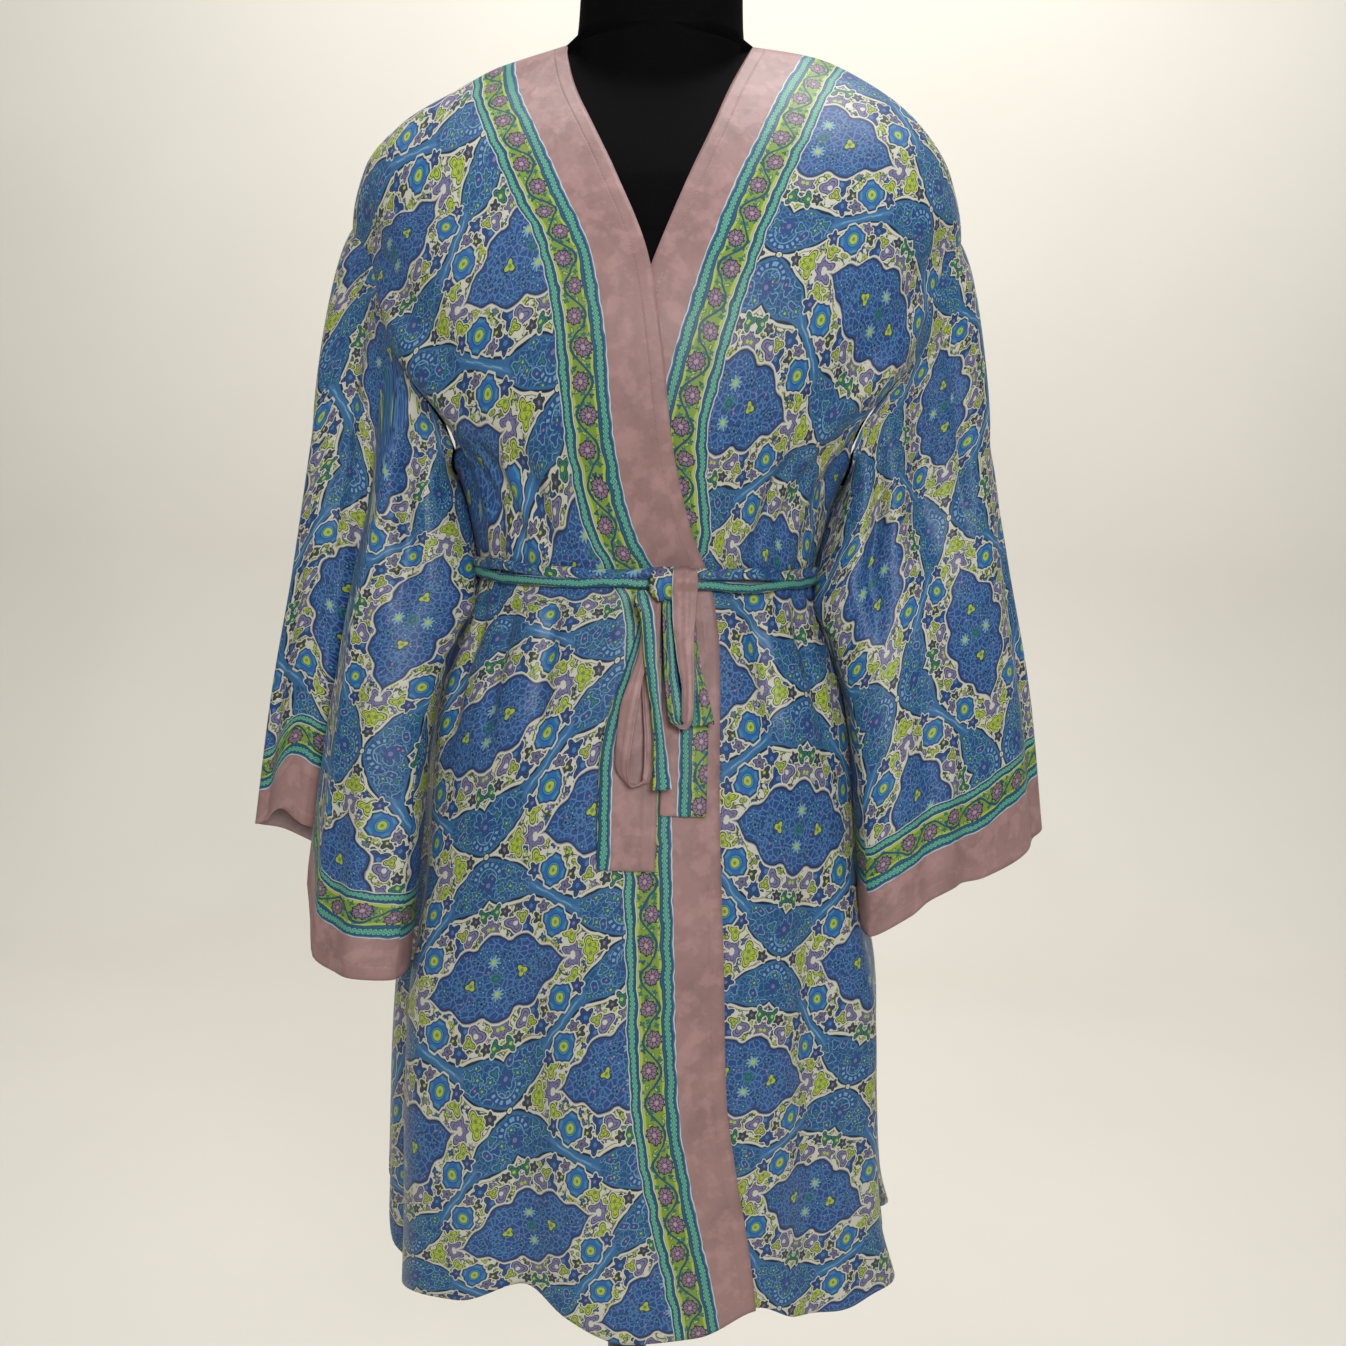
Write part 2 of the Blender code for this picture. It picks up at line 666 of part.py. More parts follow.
def make_tails(cloth):
    """The two hanging ends of the sash, flat on the robe below the knot."""
    rows, columns = 10, 3

    def place_of(number):
        def place(row, column):
            way = (row / rows) ** 1.3
            height = STRAP_TOP + (TAILS.at("foot", number) - STRAP_TOP) * way
            spread = ease(way * 1.6)
            left = TAILS.at("top_left", number) * (1 - spread) + TAILS.at("foot_left", number) * spread
            right = TAILS.at("top_right", number) * (1 - spread) + TAILS.at("foot_right", number) * spread
            across = left + (right - left) * column / columns
            near_knot = 1 - ease(way * 6)
            lift = TAIL_LIFT + (TAIL_KNOT_LIFT - TAIL_LIFT) * near_knot
            return Vector((across, skin_y(across, height) - lift, height)), Vector((0, -1, 0))

        return place

    wall("sash_tail_left", rows, columns, place_of(1), STRAP_THICK, cloth)
    wall("sash_tail_right", rows, columns, place_of(2), STRAP_THICK, cloth)


def make_bows(cloth):
    """The two bows of the sash: narrow straps that leave the knot, turn and come back behind."""
    rows, columns = 24, 2

    def place_of(run):
        def centre(way):
            across, height = run.at("across", way), run.at("height", way)
            return Vector((across, skin_y(across, height) - run.at("lift", way), height))

        def place(row, column):
            way = row / rows
            turn = math.radians(run.at("turn", way))
            flat = Vector((math.cos(turn), -math.sin(turn), 0))
            travel = (centre(min(1, way + 0.01)) - centre(max(0, way - 0.01))).normalized()
            if row in (0, rows):
                travel = Vector((0, 0, -1 if row == 0 else 1))
            flat = (flat - travel * flat.dot(travel)).normalized()
            spot = centre(way) + flat * run.at("width", way) * (column / columns - 0.5)
            return spot, travel.cross(flat).normalized()

        return place

    wall("sash_bow_left", rows, columns, place_of(BOW_LEFT), STRAP_THICK, cloth)
    wall("sash_bow_right", rows, columns, place_of(BOW_RIGHT), STRAP_THICK, cloth)


def ring(maker, height, side, front, back, power):
    """One level ring of points of the dress form."""
    points = []
    for corner in range(FORM_SIDES):
        turn = 2 * math.pi * corner / FORM_SIDES
        across, ahead = math.sin(turn), math.cos(turn)
        scale = (abs(across) ** power + abs(ahead) ** power) ** (-1 / power)
        depth = front if ahead > 0 else back
        points.append(maker.verts.new((side * across * scale, -depth * ahead * scale, height)))
    return points


def shoulder_ring(maker, step):
    """One ring of the shoulders: just under the robe, or the neck's own oval where that is wider."""
    side, front, back = (NECK.at(column, NECK_FOOT) for column in ("side", "front", "back"))
    points = []
    for corner in range(FORM_SIDES):
        angle = 360 * corner / FORM_SIDES
        spot = section_point(angle, step, 0.0) - body_normal(angle, step) * SHOULDER_CLEAR
        turn = math.atan2(spot.x, -spot.y)
        neck = 1 / math.hypot(math.sin(turn) / side, math.cos(turn) / (front if spot.y < 0 else back))
        share = max(1.0, neck / math.hypot(spot.x, spot.y))
        points.append(maker.verts.new((spot.x * share, spot.y * share, spot.z)))
    return points


def loft(name, rings, look, maker):
    """Close a stack of rings into one solid."""
    for lower, upper in zip(rings, rings[1:]):
        for corner in range(len(lower)):
            after = (corner + 1) % len(lower)
            maker.faces.new((lower[corner], lower[after], upper[after], upper[corner]))
    maker.faces.new(rings[0])
    maker.faces.new(rings[-1])
    return finish(name, maker, look)


def make_form(black):
    """The torso with its neck, and a low cap on the neck."""
    maker = bmesh.new()
    rings = [ring(maker, *row) for row in FORM.rows]
    rings += [shoulder_ring(maker, step) for step in reversed(SHOULDER_STEPS)]
    rings += [ring(maker, *row) for row in NECK.rows]
    loft("form_torso", rings, black, maker)
    maker = bmesh.new()
    top, side, front, back, power = NECK.rows[-1]
    rings = []
    for rise, share in ((0.0, 1.0), (0.35, 0.97), (0.75, 0.80), (1.0, 0.45)):
        height = top + SEAM + CAP_RISE * rise
        rings.append(ring(maker, height, side * share, front * share, back * share, power))
    loft("form_neck_cap", rings, black, maker)


def turned(name, outline, look):
    """A round piece: an outline of (radius, height) spun about the pole's axis."""
    maker = bmesh.new()
    points = [maker.verts.new((radius, 0, height)) for radius, height in outline]
    edges = [maker.edges.new(pair) for pair in zip(points, points[1:])]
    bmesh.ops.spin(
        maker, geom=points + edges, cent=(0, 0, 0), axis=(0, 0, 1),
        angle=math.tau, steps=ROUND_SIDES, use_merge=True,
    )
    bmesh.ops.remove_doubles(maker, verts=maker.verts, dist=0.00001)
    return finish(name, maker, look)


def make_stand(black):
    """The pole and the flat round base with a low hub."""
    foot = FORM.rows[0][0]
    turned(
        "form_pole",
        (
            (0.0, POLE_FOOT),
            (POLE_RADIUS, POLE_FOOT),
            (POLE_RADIUS, foot - SEAM),
            (0.0, foot - SEAM),
        ),
        black,
    )
    hub_top = POLE_FOOT - SEAM
    turned(
        "form_base",
        (
            (0.0, 0.0),
            (BASE_RADIUS, 0.0),
            (BASE_RADIUS, BASE_THICK * 0.6),
            (BASE_RADIUS - 0.006, BASE_THICK),
            (HUB_RADIUS, BASE_THICK + 0.004),
            (HUB_RADIUS * 0.8, hub_top),
            (0.0, hub_top),
        ),
        black,
    )


def main():
    for item in list(bpy.data.objects):
        bpy.data.objects.remove(item, do_unlink=True)
    cloth = material("printed_silk", (0.12, 0.24, 0.45), 0.45, sheen=0.3)
    sash = material("sash_silk", (0.36, 0.25, 0.22), 0.45, sheen=0.3)
    black = material("form_black", (0.012, 0.012, 0.014), 0.75)
    make_fronts(cloth)
    make_back(cloth)
    make_sleeves(cloth)
    make_sash_band(sash)
    make_knot(sash)
    make_tails(sash)
    make_bows(sash)
    make_form(black)
    make_stand(black)


main()
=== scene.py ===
"""The looks of a knee-length kimono robe with its sash, worn on a limbless dress form.

Metres, +Z up. The robe's front faces -Y and its right sleeve as seen is at +X.
Cloth is laid out in rows and columns over the same sections as the solids, with finer folds,
and each piece has two UV maps: "print" in metres, how far from the plain edge band and how far along it,
and "repeat", the place in the ogee lattice counted in half repeats. The materials work the print out
from these.
"""

import math

import bmesh
import bpy
import numpy as np
from mathutils import Euler, Matrix, Vector


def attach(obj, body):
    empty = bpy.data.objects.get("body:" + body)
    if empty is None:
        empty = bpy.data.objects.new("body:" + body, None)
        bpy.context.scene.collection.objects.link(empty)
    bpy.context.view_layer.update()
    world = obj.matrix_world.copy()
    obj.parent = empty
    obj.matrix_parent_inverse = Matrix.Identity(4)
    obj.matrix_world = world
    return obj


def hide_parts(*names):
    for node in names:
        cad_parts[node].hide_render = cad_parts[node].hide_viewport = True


bl_info = {
    "name": "Kimono robe on a dress form",
    "version": (1, 0, 0),
    "blender": (4, 5, 0),
    "location": "3D View > Sidebar > Robe",
    "description": "Dresses the solids of a kimono robe in printed silk, with folds and a tied sash",
    "category": "Object",
}

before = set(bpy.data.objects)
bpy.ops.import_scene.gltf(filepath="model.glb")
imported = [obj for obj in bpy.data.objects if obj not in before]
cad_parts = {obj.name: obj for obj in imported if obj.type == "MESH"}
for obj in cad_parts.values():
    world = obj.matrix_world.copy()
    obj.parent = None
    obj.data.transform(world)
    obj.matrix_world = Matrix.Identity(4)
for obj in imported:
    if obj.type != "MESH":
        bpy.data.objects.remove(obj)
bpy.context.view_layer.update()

SHOULDER_TOP = 1.427    # height of the robe at the side of the neck
SIDE = 90.0             # angle of the side seams; 0 is the front and 180 the back
LAP = 0.0030            # how far the lapped front stands out over the front below it
LAP_ANGLES = (-56, -34) # where the lapped front starts to stand out, and where it is fully out

# Armhole: an oval in the robe's body, between two steps of BODY
HOLE_MIDDLE = 7.0
HOLE_HALF = 2.0
HOLE_FRONT = 31.0       # degrees from the side seam to the hole's front
HOLE_BACK = 27.0
UNDERARM_OUT = 0.0030   # how far the sleeve's underarm lies outside the body's cloth
UNDERARM_FRONT = 85     # angle round the armhole where its underarm begins, in front
UNDERARM_BACK = 62      # and behind
UNDERARM_SPAN = 45      # over how many degrees it gets there
SHOULDER_WAY = 0.28     # share of a sleeve's length that is still shaped by the armhole
CUFF_SHAPE_START = 0.1  # from here the line round the sleeve changes to the cuff's
CUFF_SHAPE_SPAN = 0.5   # and over this share of the length
SLEEVE_SPREAD = 1.1     # above 1 the rows are closer together near the armhole

# Rows and columns of the cloth
ARM_ROWS = 56           # along one edge of an armhole
ARM_COLUMNS = 112       # round a sleeve
SLEEVE_ROWS = 110
FRONT_COLUMNS = 86
BACK_COLUMNS = 110
SHOULDER_ROWS = 44
WAIST_ROWS = 52
SKIRT_ROWS = 76
SKIRT_TOP = 13.2        # the step from which the rows follow the hem


class Table:
    """Rows of numbers under named columns, read along the first column by a smooth curve."""

    def __init__(self, columns, rows):
        self.columns = columns.split()
        self.rows = np.array(rows, float)
        rises = np.diff(self.rows, axis=0) / np.diff(self.rows[:, :1], axis=0)
        before, after = rises[:-1], rises[1:]
        total = np.where(before * after > 0, before + after, 1.0)
        inner = np.where(before * after > 0, 2 * before * after / total, 0.0)
        self.slopes = np.vstack([rises[:1], inner, rises[-1:]])

    def at(self, column, place):
        index = self.columns.index(column)
        places, values = self.rows[:, 0], self.rows[:, index]
        place = np.clip(place, places[0], places[-1])
        low = np.clip(np.searchsorted(places, place, side="right") - 1, 0, len(places) - 2)
        width = places[low + 1] - places[low]
        t = (place - places[low]) / width
        leave, arrive = self.slopes[low, index] * width, self.slopes[low + 1, index] * width
        curve = (2 * t**3 - 3 * t**2 + 1) * values[low] + (t**3 - 2 * t**2 + t) * leave
        return curve + (3 * t**2 - 2 * t**3) * values[low + 1] + (t**3 - t**2) * arrive


# The robe's body in level sections, from the side of the neck down to the hem.
# left and right are the half widths, front and back the depths, round the corner power (2 is an ellipse),
# and sag how much lower the side at -X lies, because the robe hangs unevenly.
BODY = Table("step height left right front back round sag", (
    (0, SHOULDER_TOP, 0.064, 0.064, 0.008, 0.062, 2.0, 0.002),
    (1, 1.4210, 0.108, 0.106, 0.016, 0.068, 2.0, 0.011),
    (2, 1.4040, 0.148, 0.146, 0.034, 0.075, 2.0, 0.016),
    (3, 1.3790, 0.181, 0.180, 0.058, 0.084, 2.0, 0.013),
    (4, 1.3430, 0.203, 0.204, 0.083, 0.093, 2.1, 0.006),
    (5, 1.3000, 0.211, 0.213, 0.105, 0.099, 2.1, 0.002),
    (6, 1.2550, 0.209, 0.212, 0.121, 0.101, 2.1, 0.0),
    (7, 1.2150, 0.198, 0.202, 0.127, 0.100, 2.1, 0.0),
    (8, 1.1700, 0.166, 0.168, 0.125, 0.097, 2.1, 0.0),
    (9, 1.1300, 0.136, 0.136, 0.116, 0.094, 2.1, 0.0),
    (10, 1.1000, 0.127, 0.127, 0.108, 0.092, 2.1, 0.0),
    (11, 1.0640, 0.121, 0.120, 0.100, 0.090, 2.1, 0.0),
    (12, 1.0300, 0.129, 0.129, 0.107, 0.099, 2.1, 0.0),
    (13, 0.9800, 0.147, 0.147, 0.121, 0.115, 2.1, 0.0),
    (14, 0.9200, 0.157, 0.157, 0.131, 0.128, 2.1, 0.0),
    (15, 0.8500, 0.164, 0.164, 0.137, 0.133, 2.1, 0.0),
    (16, 0.7600, 0.179, 0.180, 0.139, 0.134, 2.1, 0.0),
    (17, 0.6800, 0.183, 0.184, 0.139, 0.134, 2.1, 0.0),
    (18, 0.6000, 0.184, 0.190, 0.138, 0.134, 2.1, 0.0),
    (19, 0.5400, 0.186, 0.206, 0.139, 0.137, 2.1, 0.0),
    (20, 0.4900, 0.188, 0.210, 0.140, 0.139, 2.1, 0.0),
))

# Front edges: how far from the middle each front's edge is at a height
OVER_EDGE = Table("height across", (
    (0.490, 0.092), (0.559, 0.090), (0.612, 0.083), (0.671, 0.072), (0.722, 0.064), (0.815, 0.059),
    (0.919, 0.053), (1.020, 0.050), (1.064, 0.043), (1.100, 0.029), (1.155, 0.016), (1.210, 0.009),
    (1.266, -0.001), (1.325, -0.025), (1.357, -0.040), (1.390, -0.054), (1.427, -0.064),
))
UNDER_EDGE = Table("height across", (
    (0.490, 0.014), (0.671, -0.010), (0.919, -0.040), (1.064, -0.052), (1.155, -0.036),
    (1.210, -0.018), (1.266, 0.001), (1.325, 0.023), (1.357, 0.036), (1.390, 0.048),
    (1.427, 0.064),
))

# Hems: the height of each panel's lower edge at an angle, with rounded corners at the side slits
FRONT_HEM = Table("angle height", (
    (-90, 0.618), (-84, 0.580), (-76, 0.552), (-64, 0.546), (-50, 0.556), (-37, 0.562),
    (-22, 0.580), (-12, 0.566), (2, 0.552), (14, 0.554), (27, 0.569), (36, 0.554), (48, 0.547),
    (62, 0.553), (76, 0.556), (84, 0.572), (90, 0.618),
))
BACK_HEM = Table("angle height", (
    (90, 0.622), (98, 0.578), (112, 0.548), (140, 0.535), (180, 0.530), (220, 0.535), (248, 0.550),
    (262, 0.588), (270, 0.634),
))

# Folds of the body: a soft trough (depth below 0) or ridge, its angle at the top and at the foot,
# the heights of its top and foot, its half width in degrees, and how far it goes out
FOLDS = (
    (-72, -64, 1.33, 1.07, 7.0, -0.015), (-56, -50, 1.30, 1.08, 7.0, 0.006),
    (70, 60, 1.32, 1.08, 7.0, -0.013), (52, 47, 1.28, 1.08, 7.0, 0.006),
    (-73, -70, 0.98, 0.52, 7.0, -0.012), (-54, -50, 0.98, 0.52, 8.0, 0.007),
    (-26, -22, 0.92, 0.52, 8.0, -0.011), (-8, -2, 0.92, 0.52, 9.0, 0.004),
    (46, 42, 0.96, 0.52, 7.0, -0.009), (60, 66, 0.94, 0.52, 7.0, 0.009),
    (78, 80, 0.80, 0.52, 6.0, -0.006), (108, 104, 0.95, 0.52, 9.0, 0.010),
    (128, 126, 0.92, 0.52, 9.0, -0.010), (152, 150, 0.95, 0.52, 9.0, 0.009),
    (178, 176, 0.92, 0.52, 9.0, -0.010), (204, 206, 0.95, 0.52, 9.0, 0.009),
    (230, 232, 0.92, 0.52, 9.0, -0.009), (254, 258, 0.95, 0.52, 9.0, 0.011),
    (120, 126, 1.30, 1.08, 9.0, -0.008), (240, 234, 1.30, 1.08, 9.0, -0.008),
)

# The run of each sleeve's middle from armhole to cuff. out is the distance from the robe's middle,
# ahead how far it hangs forward, long and short its half widths, turn how far its inner end swings forward,
# and tilt how much higher its outer edge is than its middle.
LEFT_RUN = Table("way height out ahead long short turn tilt", (
    (0.00, 1.215, 0.1880, 0.0020, 0.0360, 0.0560, 0, 0.0800),
    (0.12, 1.172, 0.1774, 0.0050, 0.0597, 0.0500, 6, 0.0780),
    (0.20, 1.139, 0.1784, 0.0085, 0.0618, 0.0460, 10, 0.0730),
    (0.27, 1.109, 0.1796, 0.0115, 0.0633, 0.0425, 13.5, 0.0685),
    (0.33, 1.085, 0.1860, 0.0140, 0.0601, 0.0410, 17, 0.0660),
    (0.40, 1.057, 0.1925, 0.0175, 0.0594, 0.0390, 21, 0.0630),
    (0.50, 1.015, 0.2006, 0.0210, 0.0607, 0.0370, 26, 0.0600),
    (0.75, 0.915, 0.2140, 0.0260, 0.0717, 0.0350, 31, 0.0520),
    (1.00, 0.817, 0.2235, 0.0320, 0.0769, 0.0350, 33, 0.0480),
))
RIGHT_RUN = Table("way height out ahead long short turn tilt", (
    (0.00, 1.215, 0.1880, 0.0020, 0.0360, 0.0560, 0, 0.0800),
    (0.12, 1.175, 0.1774, 0.0050, 0.0597, 0.0500, 6, 0.0780),
    (0.20, 1.144, 0.1784, 0.0085, 0.0618, 0.0465, 10, 0.0720),
    (0.29, 1.108, 0.1795, 0.0125, 0.0645, 0.0430, 14.5, 0.0655),
    (0.36, 1.083, 0.1875, 0.0155, 0.0626, 0.0415, 18, 0.0625),
    (0.43, 1.058, 0.1935, 0.0180, 0.0637, 0.0400, 21, 0.0590),
    (0.50, 1.032, 0.2001, 0.0210, 0.0652, 0.0390, 24, 0.0560),
    (0.75, 0.938, 0.2177, 0.0240, 0.0766, 0.0370, 28, 0.0450),
    (1.00, 0.845, 0.2284, 0.0260, 0.0828, 0.0370, 29, 0.0400),
))

# The line round each sleeve, from its outer edge over its front to its inner edge and back,
# near the top and at the cuff: along its width, across its depth, and how far the cuff hangs down.
LEFT_LOOP = Table("angle along_top across_top along_cuff across_cuff drop", (
    (0, 1.00, 0.00, 1.00, 0.00, 0.000), (30, 0.82, 0.50, 0.74, 0.48, 0.020),
    (60, 0.50, 0.55, 0.38, 0.42, 0.050), (90, 0.22, 0.48, 0.06, 0.32, 0.050),
    (120, -0.05, 0.95, -0.26, 0.98, -0.014), (150, -0.55, 0.85, -0.72, 0.98, 0.003),
    (180, -1.00, 0.30, -1.06, 0.50, 0.018), (210, -0.90, -0.35, -0.94, -0.20, 0.014),
    (240, -0.50, -0.75, -0.50, -0.58, 0.010), (270, 0.00, -0.95, 0.00, -0.72, 0.008),
    (300, 0.50, -0.75, 0.45, -0.66, 0.008), (330, 0.86, -0.45, 0.82, -0.42, 0.004),
    (360, 1.00, 0.00, 1.00, 0.00, 0.000),
))
RIGHT_LOOP = Table("angle along_top across_top along_cuff across_cuff drop", (
    (0, 1.00, 0.00, 1.00, 0.00, 0.000), (30, 0.84, 0.55, 0.82, 0.46, 0.000),
    (60, 0.52, 0.72, 0.46, 0.72, 0.002), (90, 0.16, 0.35, 0.05, 0.78, 0.009),
    (120, -0.25, 0.85, -0.38, 0.86, 0.020), (150, -0.68, 0.80, -0.76, 0.78, 0.020),
    (180, -1.00, 0.25, -1.00, 0.35, 0.015), (210, -0.88, -0.40, -0.88, -0.35, 0.019),
    (240, -0.50, -0.78, -0.50, -0.66, 0.004), (270, 0.00, -0.95, 0.00, -0.78, 0.002),
    (300, 0.50, -0.78, 0.48, -0.66, 0.000), (330, 0.86, -0.45, 0.84, -0.40, 0.000),
    (360, 1.00, 0.00, 1.00, 0.00, 0.000),
))

HEM_REACHED = 0.6       # a fold of the body with a lower foot runs out over the hem

# The soft folds of each sleeve, the one at -X and the one at +X, in the same columns,
# with angles round the sleeve and shares of the way down it
SLEEVE_FOLDS = {
    -1: (
        (62, 60, 0.02, 0.55, 9, -0.006), (30, 34, 0.30, 1.10, 9, -0.004),
        (140, 150, 0.25, 1.05, 10, 0.004), (250, 255, 0.10, 1.00, 12, -0.005),
        (310, 300, 0.10, 1.00, 12, 0.004), (86, 86, 0.10, 1.30, 6, -0.013),
        (101, 101, 0.12, 1.30, 6, 0.004), (118, 152, 0.04, 0.42, 7, -0.008),
    ),
    1: (
        (58, 66, 0.02, 0.50, 9, -0.006), (30, 36, 0.25, 1.10, 10, -0.004),
        (120, 132, 0.30, 1.10, 10, -0.004), (250, 255, 0.10, 1.00, 12, -0.005),
        (310, 300, 0.10, 1.00, 12, 0.004), (112, 152, 0.04, 0.46, 7, -0.009),
        (92, 110, 0.55, 1.30, 8, -0.004),
    ),
}

# Drag lines and creases of the body: soft troughs between two places, each an angle and a height,
# with their half width and depth
METRES_PER_DEGREE = 0.0023
CREASES = (
    (-58, 1.175, -48, 1.095, 0.010, -0.005), (-47, 1.150, -40, 1.088, 0.007, -0.005),
    (-34, 1.140, -30, 1.085, 0.008, -0.005), (52, 1.180, 44, 1.095, 0.010, -0.005),
    (40, 1.150, 36, 1.085, 0.007, -0.005), (26, 1.130, 25, 1.085, 0.008, -0.002),
    (-66, 1.30, -40, 1.20, 0.014, -0.004), (66, 1.30, 38, 1.19, 0.014, -0.004),
    (-60, 1.040, -58, 0.950, 0.008, -0.004), (-44, 1.042, -42, 0.960, 0.007, -0.005),
    (-28, 1.045, -26, 0.970, 0.007, -0.005), (36, 1.045, 36, 0.965, 0.008, -0.005),
    (54, 1.042, 56, 0.950, 0.008, -0.004), (150, 1.140, 148, 1.085, 0.010, -0.004),
    (180, 1.150, 180, 1.085, 0.010, -0.004), (210, 1.140, 212, 1.085, 0.010, -0.004),
    (160, 1.040, 158, 0.950, 0.009, -0.004), (196, 1.040, 198, 0.950, 0.009, -0.004),
)

# How wide the plain band along each front edge is at a height: it is pulled in below the sash
PLAIN_BAND = Table("height over under", (
    (0.490, 0.0228, 0.0290), (0.560, 0.0262, 0.0290), (0.600, 0.0285, 0.0290),
    (0.649, 0.0308, 0.0290), (0.795, 0.0330, 0.0290), (0.950, 0.0310, 0.0290),
    (1.045, 0.0300, 0.0290), (1.085, 0.0345, 0.0620), (1.142, 0.0360, 0.0440),
    (1.175, 0.0355, 0.0360), (1.235, 0.0340, 0.0305), (1.306, 0.0345, 0.0285),
    (1.363, 0.0350, 0.0300), (1.427, 0.0370, 0.0345),
))
# How wide the plain band of each cuff is at a distance round it, from its outer edge forwards
CUFF_BAND = Table("around left right", (
    (-0.300, 0.0280, 0.0330), (-0.020, 0.0260, 0.0400), (0.025, 0.0250, 0.0420),
    (0.065, 0.0450, 0.0410), (0.085, 0.0400, 0.0360), (0.110, 0.0330, 0.0315),
    (0.160, 0.0315, 0.0330), (0.200, 0.0290, 0.0310), (0.300, 0.0280, 0.0330),
))

# The print's repeats: half a repeat across and down, and where they start from the border
HALF_ACROSS = 0.097
HALF_DOWN = 0.0865
FIELD_START = 0.0360
REVERSE_PALER = 0.16    # how washed out the print is on the cloth's wrong side

# Where the centres of repeats lie on each piece: cm in from the edge or cuff and cm along it,
# the place in the lattice in half repeats across and down, and how much the row counts.
# Rows that count little lie on hidden cloth, and only lead the print on.
OVER_CENTRES = (
    (6.36, 8.3, 0, -1, 1), (7.79, 18.9, 0, 0, 1), (13.25, 21.4, 0.515, 0, 1),
    (6.65, 28.7, 0, 1, 1), (7.12, 37.9, 0, 2, 0.5), (6.35, 47.6, 0, 3, 1), (6.45, 57, 0, 4, 1),
    (11.46, 59.5, 0.515, 4, 1), (6.26, 65.1, 0, 5, 1), (6.17, 73.6, 0, 6, 1),
    (10.47, 75.2, 0.515, 6, 1), (5.88, 81.3, 0, 7, 1), (6.29, 90.8, 0, 8, 1),
    (10.59, 92.5, 0.515, 8, 1), (16.52, 15.8, 1, -1, 1), (11.51, 9.5, 0.485, -1, 1),
    (14.86, 33.8, 1, 1, 1), (16.03, 24.8, 1, 0, 0.5), (16.75, 51.8, 1, 3, 1),
    (15.76, 69.1, 1, 5, 1), (15.18, 84.3, 1, 7, 1), (11.45, 50.4, 0.485, 3, 1),
    (11.06, 67, 0.485, 5, 1), (10.58, 82.5, 0.485, 7, 1), (22.45, 54.3, 1.515, 3, 1),
    (20.77, 71, 1.515, 5, 1), (19.78, 86.3, 1.515, 7, 1), (16.06, 60.7, 1, 4, 1),
    (15.37, 76.8, 1, 6, 1), (30, 60, 2.6, 3.2, 0.12), (30, 90, 2.6, 6.6, 0.12),
    (20, 5, 1.6, -2.4, 0.12), (20, 30, 1.6, -0.4, 0.12),
)
UNDER_CENTRES_ABOVE = (
    (7.97, 8.5, 0, 0, 1), (11.33, 6.8, 0.515, 0, 1), (12.55, 26.8, 0.515, 2, 1),
    (8.12, 27.4, 0, 2, 1), (5.99, 18.6, 0, 1, 1), (8.4, 39.3, 0, 3, 1), (11.27, 16.8, 0.485, 1, 1),
    (17.88, 22.9, 1.515, 1, 1), (14.7, 19.5, 1, 1, 1), (16.05, 7.5, 1, 0, 1),
    (14.45, 28.8, 1, 2, 1), (24, 25, 2, 1.5, 0.35), (24, 5, 2, -1, 0.35), (14, 0, 1, -1, 0.35),
    (16, 40, 1.3, 3, 0.35),
)
UNDER_CENTRES_BELOW = (
    (7.8, 50, 0, 0, 1), (12.5, 50.5, 0.515, 0, 1), (17.2, 51.1, 1, 0, 1), (15.15, 60.7, 1, 1, 1),
    (11.1, 60, 0.485, 1, 1), (20, 61.4, 1.515, 1, 1), (12.7, 69.3, 1, 2, 1), (9.9, 77.4, 1, 3, 1),
    (14.1, 78.8, 1.515, 3, 1), (21.8, 72.2, 2, 2, 1), (17.4, 71.4, 1.485, 2, 1),
    (17.9, 81.1, 2, 3, 1), (14.55, 88.85, 2, 4, 1), (10.6, 86.1, 1.485, 4, 1),
    (18.4, 90, 2.515, 4, 1), (28, 50, 2.2, -0.3, 0.12), (28, 90, 3.3, 4.2, 0.12),
    (0, 90, 1, 4.6, 0.12), (0, 50, -0.6, 0.2, 0.12),
)
LEFT_SLEEVE_CENTRES = (
    (5.9, 16.8, 0, 0, 1), (10.9, 16.5, 0.515, 0, 1), (15.77, 15.7, 1, 0, 1),
    (20.1, 16.3, 1.485, 0, 1), (25, 16.8, 2, 0, 1), (29.6, 18.5, 2.515, 0, 1),
    (34.2, 11.2, 3, -1, 1), (15.2, 7.1, 1, -1, 0.12), (25, 8.2, 2, -1, 0.12),
    (6, 8.2, 0, -1, 0.12), (6, 25.5, 0, 1, 0.12), (15, 24.4, 1, 1, 0.12), (25, 25.5, 2, 1, 0.12),
    (6, -9, 0, -3, 0.12), (25, -9, 2, -3, 0.12), (34, -6, 3, -3, 0.12), (38, 20, 3.5, 0, 0.12),
    (38, -10, 3.5, -3.3, 0.12), (6, -26, 0, -5, 0.12), (25, -26, 2, -5, 0.12),
    (25, 34, 2, 2, 0.12), (6, 34, 0, 2, 0.12),
)
RIGHT_SLEEVE_CENTRES = (
    (7.9, 5.8, 0, -1, 1), (6, 14, 0, 0, 1), (10.8, 15.2, 0.515, 0, 1), (15, 15.7, 1, 0, 1),
    (13.1, 8.3, 0.485, -1, 1), (17.8, 8.1, 1, -1, 1), (22.4, 8.1, 1.515, -1, 1),
    (25.8, 7.2, 2, -1, 1), (18.7, 15, 1.485, 0, 1), (22.6, 14.2, 2, 0, 1), (25.4, 14.6, 2.4, 0, 1),
    (31.2, 18.8, 3, 0, 0.6), (6, -3, 0, -2, 0.12), (25, -2, 2, -2, 0.12), (6, -20, 0, -4, 0.12),
    (25, -19, 2, -4, 0.12), (6, 24, 0, 1, 0.12), (20, 24, 1.4, 1, 0.12), (36, 2, 3.3, -2, 0.12),
    (36, -15, 3.3, -4, 0.12), (30, 30, 3, 1.4, 0.12), (6, 31, 0, 2, 0.12),
)
